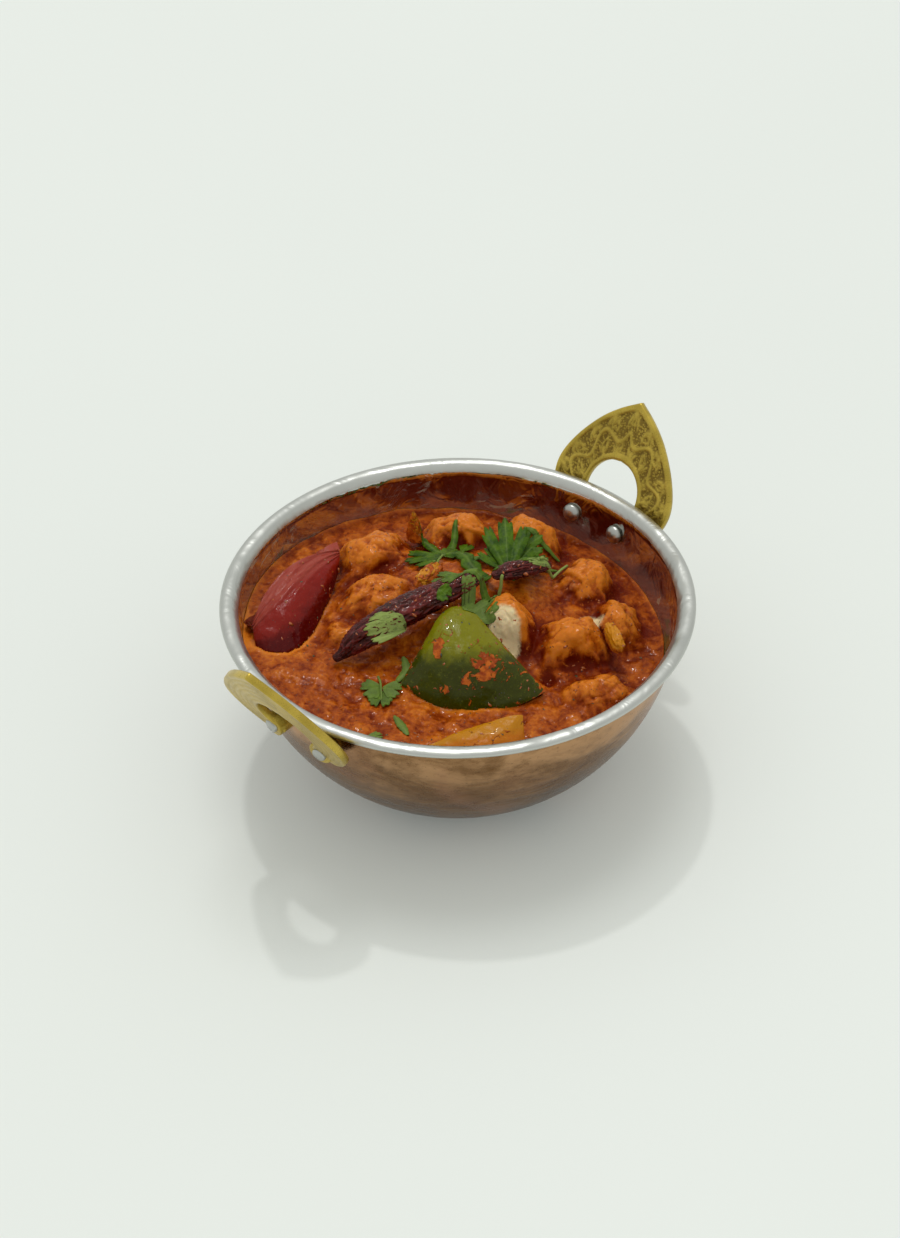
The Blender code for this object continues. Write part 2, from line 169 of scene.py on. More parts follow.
class Grain:
    """Smooth, repeatable noise over points."""

    def __init__(self, seed: int) -> None:
        """Draw the tables.

        Args:
            seed: Any number; the same one gives the same noise.
        """
        rng = np.random.default_rng(seed)
        self.table = np.tile(rng.permutation(256), 2)
        spread = rng.normal(size=(256, 3))
        self.slopes = spread / np.linalg.norm(spread, axis=1)[:, None]

    def at(self, points: np.ndarray) -> np.ndarray:
        """Noise of about -1 to 1.

        Args:
            points: Rows of three, in units of one noise cell.

        Returns:
            One value a row.
        """
        cell = np.floor(points).astype(np.int64)
        part = points - cell
        cell &= 255
        fade = part**3 * (part * (part * 6.0 - 15.0) + 10.0)
        total = np.zeros(len(points))
        for corner in range(8):
            step = np.array([corner & 1, (corner >> 1) & 1, corner >> 2])
            key = self.table[cell[:, 0] + step[0]] + cell[:, 1] + step[1]
            key = self.table[key] + cell[:, 2] + step[2]
            weight = np.prod(np.where(step == 1, fade, 1.0 - fade), axis=1)
            total += weight * np.einsum("ij,ij->i", self.slopes[self.table[key]], part - step)
        return total * 1.6

    def fractal(self, points: np.ndarray, octaves: int, gain: float = 0.5) -> np.ndarray:
        """Several sizes of noise added up.

        Args:
            points: Rows of three, in units of the largest cell.
            octaves: How many sizes.
            gain: How much weaker each smaller size is.

        Returns:
            One value a row.
        """
        total, weight, scale = np.zeros(len(points)), 1.0, 1.0
        for octave in range(octaves):
            total += weight * self.at(points * scale + 17.3 * octave)
            weight *= gain
            scale *= 2.03
        return total

    def ridges(self, points: np.ndarray, octaves: int) -> np.ndarray:
        """Noise with sharp crests, from 0 to about 1.

        Args:
            points: Rows of three, in units of the largest cell.
            octaves: How many sizes.

        Returns:
            One value a row.
        """
        total, weight, scale = np.zeros(len(points)), 0.6, 1.0
        for octave in range(octaves):
            crest = 1.0 - np.abs(self.at(points * scale + 31.7 * octave))
            total += weight * np.maximum(crest, 0.0) ** 2.5
            weight *= 0.5
            scale *= 2.1
        return total


# --------------------------------------------------------------------------- materials


class Value:
    """A shader socket that takes part in arithmetic."""

    def __init__(self, graph: "Graph", socket: bpy.types.NodeSocket) -> None:
        """Wrap a socket.

        Args:
            graph: The material's graph.
            socket: The output that it stands for.
        """
        self.graph = graph
        self.socket = socket

    def _maths(self, operation: str, *terms: "Value | float") -> "Value":
        """Add a Math node whose inputs are the terms in order."""
        return self.graph.add("ShaderNodeMath", {"operation": operation}, dict(enumerate(terms)))

    def __add__(self, other: "Value | float") -> "Value":
        """Sum."""
        return self._maths("ADD", self, other)

    __radd__ = __add__

    def __sub__(self, other: "Value | float") -> "Value":
        """Difference."""
        return self._maths("SUBTRACT", self, other)

    def __rsub__(self, other: float) -> "Value":
        """Difference from a number."""
        return self._maths("SUBTRACT", other, self)

    def __mul__(self, other: "Value | float") -> "Value":
        """Product."""
        return self._maths("MULTIPLY", self, other)

    __rmul__ = __mul__

    def __truediv__(self, other: "Value | float") -> "Value":
        """Quotient."""
        return self._maths("DIVIDE", self, other)

    def largest(self, other: "Value | float") -> "Value":
        """Greater of two."""
        return self._maths("MAXIMUM", self, other)

    def between(self, low: float, high: float) -> "Value":
        """Smooth rise from 0 at low to 1 at high.

        Args:
            low: Where it starts.
            high: Where it ends.

        Returns:
            The eased value.
        """
        settings = {"interpolation_type": "SMOOTHSTEP"}
        return self.graph.add("ShaderNodeMapRange", settings, {0: self, 1: low, 2: high})


class Graph:
    """A material being made, node by node."""

    def __init__(self, name: str) -> None:
        """Start an empty material.

        Args:
            name: Its name.
        """
        self.material = bpy.data.materials.new(name)
        self.material.use_nodes = True
        self.tree = self.material.node_tree
        self.tree.nodes.clear()
        self.place = self.add("ShaderNodeTexCoord", output="Object")

    def add(self, kind: str, settings: dict | None = None, inputs: dict | None = None,
            output: int | str = 0) -> Value:
        """Add any node.

        Args:
            kind: Its type.
            settings: Properties that are set first; "stops" fills a ramp.
            inputs: Values or links of its sockets, by name or number.
            output: Which output is returned.

        Returns:
            That output.
        """
        node = self.tree.nodes.new(kind)
        for name, value in (settings or {}).items():
            if name == "stops":
                ramp = node.color_ramp
                while len(ramp.elements) < len(value):
                    ramp.elements.new(1.0)
                for element, (where, colour) in zip(ramp.elements, value):
                    element.position = where
                    element.color = (*colour, 1.0)
            else:
                setattr(node, name, value)
        for key, value in (inputs or {}).items():
            if isinstance(value, Value):
                self.tree.links.new(value.socket, node.inputs[key])
            elif isinstance(value, tuple) and len(value) == 3 and node.inputs[key].type == "RGBA":
                node.inputs[key].default_value = (*value, 1.0)
            else:
                node.inputs[key].default_value = value
        return Value(self, node.outputs[output])

    def attribute(self, name: str) -> Value:
        """Read a mesh attribute as a number."""
        return self.add("ShaderNodeAttribute", {"attribute_name": name}, output="Fac")

    def stretched(self, scale: Point, source: Value | None = None) -> Value:
        """Scale coordinates unevenly.

        Args:
            scale: Factors along each axis.
            source: Coordinates to scale; the object's own where none are given.

        Returns:
            The scaled coordinates.
        """
        return self.add("ShaderNodeMapping", None, {0: source or self.place, 3: scale})

    def noise(self, scale: float, detail: float = 3.0, roughness: float = 0.5,
              distortion: float = 0.0, source: Value | None = None) -> Value:
        """Cloudy pattern around 0.5.

        Args:
            scale: Cells in a metre.
            detail: How many smaller sizes it has.
            roughness: How strong these are.
            distortion: How much it swirls.
            source: Coordinates; the object's own where none are given.

        Returns:
            The pattern.
        """
        return self.add("ShaderNodeTexNoise", None, {
            "Vector": source or self.place, "Scale": scale, "Detail": detail,
            "Roughness": roughness, "Distortion": distortion})

    def cells(self, scale: float, source: Value | None = None) -> Value:
        """Distance to scattered points, in cells.

        Args:
            scale: Points in a metre.
            source: Coordinates; the object's own where none are given.

        Returns:
            The distance.
        """
        return self.add("ShaderNodeTexVoronoi", None, {
            "Vector": source or self.place, "Scale": scale}, output="Distance")

    def ramp(self, value: Value, stops: list[tuple[float, Colour]]) -> Value:
        """Colour a value.

        Args:
            value: From 0 to 1.
            stops: Places and their colours.

        Returns:
            The colour.
        """
        return self.add("ShaderNodeValToRGB", {"stops": stops}, {0: value})

    def mix(self, factor: Value | float, first: Value | Colour, second: Value | Colour,
            blend: str = "MIX") -> Value:
        """Mix two colours.

        Args:
            factor: 0 gives the first and 1 the second.
            first: A colour.
            second: A colour.
            blend: How they mix.

        Returns:
            The mixed colour.
        """
        settings = {"data_type": "RGBA", "blend_type": blend}
        return self.add("ShaderNodeMix", settings, {0: factor, 6: first, 7: second}, 2)

    def bump(self, height: Value, distance: float, strength: float = 1.0,
             below: Value | None = None) -> Value:
        """Turn a height into a shading normal.

        Args:
            height: From 0 to 1.
            distance: What a height of 1 stands for, in metres.
            strength: How much of it shows.
            below: Another bump under this one.

        Returns:
            The normal.
        """
        inputs = {"Height": height, "Distance": distance, "Strength": strength}
        if below:
            inputs["Normal"] = below
        return self.add("ShaderNodeBump", None, inputs)

    def close(self, **sockets: "Value | float | Colour") -> bpy.types.Material:
        """Link the Principled shader and end the material.

        Args:
            **sockets: Values of its sockets, with underscores for spaces.

        Returns:
            The finished material.
        """
        inputs = {name.replace("_", " "): value for name, value in sockets.items()}
        shader = self.add("ShaderNodeBsdfPrincipled", None, inputs)
        self.add_output(shader)
        return self.material

    def add_output(self, shader: Value) -> None:
        """Send a shader to the surface."""
        end = self.tree.nodes.new("ShaderNodeOutputMaterial")
        self.tree.links.new(shader.socket, end.inputs["Surface"])


@dataclass(frozen=True)
class SauceFinish:
    """Thick tomato gravy, dark with oiliness and painted shade in the hollows, paler on the crests,
    where it is stretched thin and gets painted light.
    """

    name: str = "curry_sauce"
    oil_and_shade: Colour = (0.115, 0.0070, 0.0006)
    deep: Colour = (0.190, 0.0230, 0.0010)
    body: Colour = (0.385, 0.0740, 0.0034)
    light: Colour = (0.630, 0.1750, 0.0110)
    meat: Colour = (0.840, 0.660, 0.380)
    pulp: Colour = (0.62, 0.170, 0.022)
    spice: Colour = (0.075, 0.014, 0.004)

    def make(self) -> bpy.types.Material:
        """Build the material.

        Returns:
            The sauce.
        """
        g = Graph(self.name)
        cavity, pool = g.attribute("cavity"), g.attribute("pool")
        bare, wet = g.attribute("bare"), g.attribute("wet")
        cloud = g.noise(150, 4, 0.6, 0.6)
        fibre = g.noise(420, 5, 0.65, 1.6)
        grain = g.noise(1500, 3, 0.6)
        # Painted shade: hollows (cavity below 0) turn dark and oily, and crests turn lighter as
        # painted light.
        tone = cavity * 0.54 + (cloud - 0.5) * 1.1 + (fibre - 0.5) * 0.6 + 0.48
        colour = g.ramp(tone, [(0.08, self.oil_and_shade), (0.30, self.deep), (0.54, self.body),
                               (0.86, self.light)])
        shreds = g.noise(900, 2, 0.5).between(0.60, 0.70) * g.noise(240, 2).between(0.48, 0.62)
        colour = g.mix(shreds * 0.5, colour, self.pulp)
        dust = g.cells(620).between(0.16, 0.10) * g.noise(190, 2).between(0.46, 0.60)
        colour = g.mix(dust * 0.8, colour, self.spice)
        # Oiliness and painted contact shade darken the sauce round the garnish and in the pits.
        colour = g.mix(wet * 0.85, colour, self.oil_and_shade)
        # Meat shows pale where the sauce is thin; one faint patch is a painted sheen.
        flesh = (bare + (fibre - 0.5) * 0.9 * bare).between(0.30, 0.62)
        colour = g.mix(flesh, colour, self.meat)
        rough = 0.30 + (grain - 0.5) * 0.35 - wet * 0.12 + pool * 0.02
        relief = fibre * 0.55 + grain * 0.30 + g.noise(700, 3, 0.55, 0.8) * 0.5
        return g.close(Base_Color=colour, Roughness=rough.largest(0.12), IOR=1.45,
                       Specular_IOR_Level=0.12, Specular_Tint=(1.0, 0.4, 0.2),
                       Coat_Weight=cavity.between(-0.5, 0.4) * 0.19 + 0.05,
                       Coat_Roughness=0.09,
                       Subsurface_Weight=0.12, Subsurface_Radius=(0.8, 0.25, 0.1),
                       Subsurface_Scale=0.002, Normal=g.bump(relief, 0.0005, 0.55))


@dataclass(frozen=True)
class SteelFinish:
    """Polished stainless steel, spun and then worn by years of serving, with sauce stains and painted
    reflections when it has a film.
    """

    name: str = "polished_steel"
    colour: Colour = (0.56, 0.56, 0.52)
    roughness: float = 0.07
    # With a film the steel also gets painted reflections of the herbs and painted glints.
    film: bool = False
    grease: Colour = (0.34, 0.075, 0.014)
    # herb is the colour of the painted reflections of the herbs; glint that of the painted glints.
    herb: Colour = (0.105, 0.125, 0.010)
    glint: Colour = (0.50, 0.42, 0.26)

    def make(self) -> bpy.types.Material:
        """Build the material.

        Returns:
            The steel.
        """
        g = Graph(self.name)
        waves = g.noise(26, 2, 0.5, 0.4)
        wear = g.noise(700, 3, 0.6)
        colour = g.mix(g.noise(60, 3).between(0.3, 0.8) * 0.25, self.colour,
                       tuple(c * 0.72 for c in self.colour))
        rough = (wear - 0.5) * 0.10 + self.roughness
        metal = 1.0
        if self.film:
            height = g.add("ShaderNodeSeparateXYZ", None, {0: g.place}, "Z")
            drip = g.noise(120, 4, 0.6, 0.5)
            edge = (height - (RIM_HEIGHT - 0.0125)) / 0.0085 + (drip - 0.5) * 2.6
            film = edge.between(0.35, -0.35)
            colour = g.mix(film * 0.50, colour, self.grease)
            streak = g.stretched((1.0, 1.0, 2.4))
            # Painted reflections of the herbs, streaked up the wall within the sauce film.
            herb = g.noise(46, 3, 0.55, 0.9, streak).between(0.56, 0.64)
            colour = g.mix(herb * film * 0.85, colour, self.herb)
            # Painted glints, streaked up the wall.
            shine = g.noise(64, 3, 0.6, 1.4, streak).between(0.60, 0.67)
            colour = g.mix(shine * 0.70, colour, self.glint)
            metal = 1.0 - film * 0.18 - herb * film * 0.45 - shine * 0.35
            rough = rough + film * 0.08
        bump = g.bump(waves, 0.0045, 0.8)
        bump = g.bump(g.noise(90, 2, 0.5, 1.5), 0.0007, 0.5, bump)
        return g.close(Base_Color=colour, Metallic=metal, Roughness=rough, Normal=bump)


@dataclass(frozen=True)
class CopperFinish:
    """Copper that has browned, with paler polished patches and painted shade that darkens it towards
    the bottom.
    """

    name: str = "tarnished_copper"
    brown: Colour = (0.175, 0.080, 0.026)
    tan: Colour = (0.500, 0.285, 0.140)
    pink: Colour = (0.420, 0.205, 0.115)
    black: Colour = (0.030, 0.012, 0.003)
    dull: Colour = (0.270, 0.143, 0.062)
    spot: Colour = (0.12, 0.06, 0.03)

    def make(self) -> bpy.types.Material:
        """Build the material.

        Returns:
            The copper.
        """
        g = Graph(self.name)
        around = g.stretched((1.0, 1.0, 2.2))
        broad = g.noise(38, 4, 0.62, 0.8, around)
        fine = g.noise(210, 5, 0.7, 0.3, around)
        height = g.add("ShaderNodeSeparateXYZ", None, {0: g.place}, "Z")
        # The height term is painted shade: it darkens the copper towards the bottom.
        tone = broad * 0.75 + fine * 0.35 + (height - 0.036) * 9.0
        colour = g.ramp(tone, [(0.20, self.black), (0.42, self.brown),
                               (0.58, self.dull), (0.76, self.tan)])
        blush = g.noise(24, 3, 0.5, 0.5).between(0.52, 0.68)
        colour = g.mix(blush * 0.55, colour, self.pink)
        spots = g.noise(900, 2, 0.6).between(0.62, 0.74)
        colour = g.mix(spots * 0.5, colour, self.spot)
        rough = 0.30 + (fine - 0.5) * 0.35 + (broad - 0.5) * 0.2
        bump = g.bump(broad, 0.0012, 0.35)
        return g.close(Base_Color=colour, Metallic=1.0, Roughness=rough,
                       Normal=g.bump(fine, 0.00015, 0.6, bump))


@dataclass(frozen=True)
class BrassFinish:
    """Cast brass, bright on the high parts and dark in the recesses."""

    name: str = "cast_brass"
    bright: Colour = (0.56, 0.400, 0.058)
    olive: Colour = (0.42, 0.295, 0.036)
    dark: Colour = (0.16, 0.095, 0.010)

    def make(self) -> bpy.types.Material:
        """Build the material.

        Returns:
            The brass.
        """
        g = Graph(self.name)
        sunk = g.attribute("sunk")
        cloud = g.noise(110, 4, 0.6)
        stipple = g.noise(1500, 3, 0.7)
        base = g.mix(cloud.between(0.35, 0.65), self.olive, self.bright)
        pits = g.cells(1300).between(0.30, 0.55)
        depth = sunk.between(0.15, 0.9) * (pits * 0.65 + 0.12)
        colour = g.mix(depth, base, self.dark)
        rough = 0.30 + (stipple - 0.5) * 0.25 + sunk * 0.15
        bump = g.bump(g.noise(420, 4, 0.6), 0.00025, 0.5)
        return g.close(Base_Color=colour, Metallic=0.60, Roughness=rough,
                       Normal=g.bump(stipple * sunk, 0.0005, 0.8, bump))


@dataclass(frozen=True)
class PepperFinish:
    """Cooked pepper: waxy skin that changes across the slice, darkened by painted shade towards its
    lower edge, with sauce left on it.
    """

    name: str
    skin: Colour
    # Colour of the painted shade on the lower part.
    shade: Colour
    flesh: Colour
    sauce: float = 0.5
    roughness: float = 0.22
    turn: float = 0.5

    def make(self) -> bpy.types.Material:
        """Build the material.

        Returns:
            The pepper.
        """
        g = Graph(self.name)
        low, cut = g.attribute("low"), g.attribute("cut")
        cloud = g.noise(180, 4, 0.6, 0.5)
        fine = g.noise(900, 4, 0.65)
        # Painted shade: the skin darkens towards the lower edge.
        shade = (low + (cloud - 0.5) * 0.35).between(self.turn - 0.10, self.turn + 0.14)
        colour = g.mix(shade, self.skin, self.shade)
        colour = g.mix(fine.between(0.55, 0.75) * 0.3, colour, self.flesh)
        colour = g.mix(cut * 0.75, colour, self.flesh)
        smear = g.attribute("smear")
        band = g.attribute("band")
        colour = g.mix(band, colour, self.flesh)
        film = (g.noise(330, 4, 0.62, 0.8) + smear * 0.30 * self.sauce).between(0.66, 0.71)
        tone = g.mix(g.noise(500, 3).between(0.4, 0.65), (0.30, 0.040, 0.003), (0.56, 0.125, 0.010))
        colour = g.mix(film * 0.95, colour, tone)
        rough = self.roughness + (fine - 0.5) * 0.2 + film * 0.08
        relief = g.bump(g.noise(260, 3, 0.5, 0.4), 0.0009, 0.5)
        return g.close(Base_Color=colour, Roughness=rough, Specular_IOR_Level=0.12,
                       Coat_Weight=0.10, Coat_Roughness=0.05, Subsurface_Weight=0.1,
                       Subsurface_Radius=(0.6, 0.4, 0.1), Subsurface_Scale=0.0015,
                       Normal=g.bump(fine * 0.4 + film * 1.6, 0.0004, 0.8, relief))


@dataclass(frozen=True)
class ChilliFinish:
    """Dried chilli skin: nearly black maroon, wrinkled and oily, with painted shade in the creases.
    """

    name: str = "dried_chilli_skin"
    dark: Colour = (0.020, 0.0015, 0.0018)
    red: Colour = (0.160, 0.0080, 0.0070)

    def make(self) -> bpy.types.Material:
        """Build the material.

        Returns:
            The skin.
        """
        g = Graph(self.name)
        wrinkle = g.attribute("wrinkle")
        cloud = g.noise(260, 4, 0.6, 0.5)
        # Painted shade: dark in the creases of the wrinkles, redder on their crests.
        tone = wrinkle * 0.7 + (cloud - 0.5) * 1.2
        colour = g.mix(tone.between(0.15, 0.9), self.dark, self.red)
        fine = g.noise(800, 4, 0.6, 1.2)
        return g.close(Base_Color=colour, Roughness=0.20 + (fine - 0.5) * 0.2,
                       Specular_IOR_Level=0.25, Specular_Tint=(1.0, 0.4, 0.3),
                       Coat_Weight=(wrinkle - 0.1) * 0.6, Coat_Roughness=0.07,
                       Normal=g.bump(fine, 0.0006, 0.6))


@dataclass(frozen=True)
class LeafFinish:
    """Fresh coriander: some leaves and stems paler than others, and paler veins."""

    name: str = "coriander_leaf"
    deep: Colour = (0.020, 0.056, 0.0010)
    fresh: Colour = (0.078, 0.150, 0.0030)
    pale: Colour = (0.260, 0.330, 0.085)

    def make(self) -> bpy.types.Material:
        """Build the material.

        Returns:
            The leaf.
        """
        g = Graph(self.name)
        pale = g.attribute("pale")
        vein = g.attribute("vein")
        cloud = g.noise(330, 4, 0.6)
        colour = g.mix(cloud.between(0.3, 0.7), self.deep, self.fresh)
        colour = g.mix(pale, colour, self.pale)
        colour = g.mix(vein * 0.22, colour, self.pale)
        return g.close(Base_Color=colour, Roughness=0.38 + (cloud - 0.5) * 0.2,
                       Specular_IOR_Level=0.12, Subsurface_Weight=0.1,
                       Subsurface_Radius=(0.4, 0.8, 0.1), Subsurface_Scale=0.001,
                       Normal=g.bump(g.noise(1100, 3, 0.6), 0.0003, 0.7))


@dataclass(frozen=True)
class CrumbFinish:
    """Ground spice, seed and herb crumbs of one colour."""

    name: str
    colour: Colour
    roughness: float = 0.3

    def make(self) -> bpy.types.Material:
        """Build the material.

        Returns:
            The crumbs.
        """
        g = Graph(self.name)
        cloud = g.noise(1400, 2)
        dark = tuple(c * 0.4 for c in self.colour)
        return g.close(Base_Color=g.mix(cloud.between(0.3, 0.7), dark, self.colour),
                       Roughness=self.roughness + (cloud - 0.5) * 0.2, Coat_Weight=0.3,
                       Coat_Roughness=0.1, Normal=g.bump(cloud, 0.0002, 0.5))


# --------------------------------------------------------------------------- pieces


def finish_piece(name: str, bm: bmesh.types.BMesh, material: bpy.types.Material, slot: Slot,
                 nodes: tuple[str, ...] = (), smooth: bool = True) -> bpy.types.Object:
    """Turn a bmesh into a piece that rides on the part.

    Args:
        name: The piece's name.
        bm: Its mesh, in metres, which is freed.
        material: Its finish.
        slot: The record's slot for that finish.
        nodes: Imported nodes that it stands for.
        smooth: Whether its faces are shaded smooth.

    Returns:
        The piece.
    """
    mesh = bpy.data.meshes.new(name)
    bm.to_mesh(mesh)
    bm.free()
    mesh.materials.append(material)
    if smooth:
        mesh.shade_smooth()
    piece = bpy.data.objects.new(name, mesh)
    bpy.context.scene.collection.objects.link(piece)
    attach(piece, "root")
    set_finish(piece, slot.value)
    if nodes:
        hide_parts(*nodes)
    LOG.info("%s: %d faces", name, len(mesh.polygons))
    return piece


def positions(bm: bmesh.types.BMesh) -> np.ndarray:
    """Every vertex's place, row by row."""
    return np.array([vert.co[:] for vert in bm.verts])


def place(bm: bmesh.types.BMesh, points: np.ndarray) -> None:
    """Move every vertex to its row's place.

    Args:
        bm: The mesh.
        points: One row a vertex.
    """
    for vert, co in zip(bm.verts, points.tolist()):
        vert.co = co


def paint(bm: bmesh.types.BMesh, name: str, values: np.ndarray) -> None:
    """Store one number a vertex for the shader.

    Args:
        bm: The mesh.
        name: The attribute's name.
        values: One value a vertex.
    """
    layer = bm.verts.layers.float.get(name) or bm.verts.layers.float.new(name)
    for vert, value in zip(bm.verts, values.tolist()):
        vert[layer] = value


def boundary(bm: bmesh.types.BMesh) -> list[bmesh.types.BMEdge]:
    """Edges with a face on one side only."""
    return [edge for edge in bm.edges if edge.is_boundary]


def spun(points: list[Point], turns: int, weld: float) -> bmesh.types.BMesh:
    """Spin a profile that starts and ends on the vertical axis.

    Args:
        points: The profile.
        turns: Spans all the way round.
        weld: Points nearer than this become one.

    Returns:
        The closed solid.
    """
    bm = bmesh.new()
    run = [bm.verts.new(point) for point in points]
    for start, end in zip(run, run[1:]):
        bm.edges.new((start, end))
    bmesh.ops.spin(bm, geom=bm.verts[:] + bm.edges[:], cent=(0, 0, 0), axis=(0, 0, 1),
                   angle=math.tau, steps=turns, use_merge=True)
    bmesh.ops.remove_doubles(bm, verts=bm.verts[:], dist=weld)
    bmesh.ops.recalc_face_normals(bm, faces=bm.faces[:])
    return bm


@dataclass
class Bowl:
    """The two spun skins; the steel one rolls out over the copper one at the rim."""

    rim_radius: float = 75.0
    bead_width: float = 4.6
    bead_thickness: float = 2.7
    sphere_radius: float = 70.5
    sphere_height: float = 2.0
    skin: float = 0.5
    gap: float = 0.3
    base_radius: float = 33.0
    base_bend: float = 1.6
    turns: int = 216

    @property
    def floor(self) -> float:
        """Height of the outside of the base, from the rim."""
        return -RIM_HEIGHT / MM

    @property
    def hollow_radius(self) -> float:
        """Sphere radius of the steel skin's inside."""
        return self.sphere_radius - 2 * self.skin - self.gap

    def wall(self, radius: float, height: float) -> float:
        """Distance from the axis to a skin.

        Args:
            radius: The skin's sphere radius.
            height: From the rim.

        Returns:
            Millimetres.
        """
        return math.sqrt(max(radius**2 - (self.sphere_height - height) ** 2, 1.0))

    def arc(self, radius: float, top: float, bottom: float, steps: int) -> list[tuple[float, float]]:
        """Points down a skin's wall.

        Args:
            radius: The skin's sphere radius.
            top: Upper height, from the rim.
            bottom: Lower height, from the rim.
            steps: Spans.

        Returns:
            Distances from the axis and heights.
        """
        first = math.asin((self.sphere_height - top) / radius)
        last = math.asin((self.sphere_height - bottom) / radius)
        angles = [first + (last - first) * i / steps for i in range(steps + 1)]
        return [(radius * math.cos(a), self.sphere_height - radius * math.sin(a)) for a in angles]

    def base(self, radius: float, floor: float) -> list[tuple[float, float]]:
        """Points from the foot of a wall, round its bend, to the axis.

        Args:
            radius: The skin's sphere radius.
            floor: Height of its flat, from the rim.

        Returns:
            Distances from the axis and heights.
        """
        foot = self.wall(radius, floor + self.base_bend)
        run = []
        for i in range(1, 7):
            t = i / 6
            across = (1 - t) ** 2 * foot + 2 * t * (1 - t) * (self.base_radius + 2.6) \
                + t**2 * self.base_radius
            run.append((across, floor + self.base_bend * (1 - t) ** 2))
        return run + [(self.base_radius * 0.6, floor), (self.base_radius * 0.2, floor), (0.0, floor)]

    def skin_of(self, profile: list[tuple[float, float]]) -> bmesh.types.BMesh:
        """Spin one skin, in metres.

        Args:
            profile: Distances from the axis and heights from the rim.

        Returns:
            The closed skin.
        """
        return spun([(r * MM, 0, h * MM + RIM_HEIGHT) for r, h in profile], self.turns, 1e-7)

    def build(self) -> None:
        """Make both skins."""
        inner = self.sphere_radius - self.skin
        floor = self.floor + self.skin
        inside = self.arc(inner, -2.0, floor + self.base_bend, 20) + self.base(inner, floor)
        outside = self.arc(self.sphere_radius, -2.0, self.floor + self.base_bend, 28)
        outside += self.base(self.sphere_radius, self.floor)
        copper = self.skin_of(inside[::-1] + outside)
        finish_piece("copper_skin", copper, CopperFinish().make(), Slot.COPPER,
                     ("bowl_copper_skin",))
        self.build_liner()

    def build_liner(self) -> None:
        """Make the steel skin and its rolled bead."""
        centre = self.rim_radius - self.bead_width / 2
        bead = []
        for i in range(25):
            angle = math.radians(144 - 12 * i)
            bead.append((centre + self.bead_width / 2 * math.cos(angle),
                         self.bead_thickness / 2 * math.sin(angle)))
        hollow, liner = self.hollow_radius, self.sphere_radius - self.skin - self.gap
        low = self.floor + 2 * self.skin + self.gap
        inside = self.arc(hollow, -1.2, low + self.base_bend, 30) + self.base(hollow, low)
        low = self.floor + self.skin + self.gap
        outside = self.arc(liner, -1.2, low + self.base_bend, 20) + self.base(liner, low)
        bm = self.skin_of(inside[::-1] + bead + outside)
        finish = SteelFinish(film=True).make()
        rim = SteelFinish("rim_steel", (0.57, 0.575, 0.54), 0.36).make()
        for face in bm.faces:
            if face.calc_center_median().z > RIM_HEIGHT - 0.0012:
                face.material_index = 1
        piece = finish_piece("steel_liner", bm, finish, Slot.STEEL, ("bowl_steel_liner",))
        piece.data.materials.append(rim)


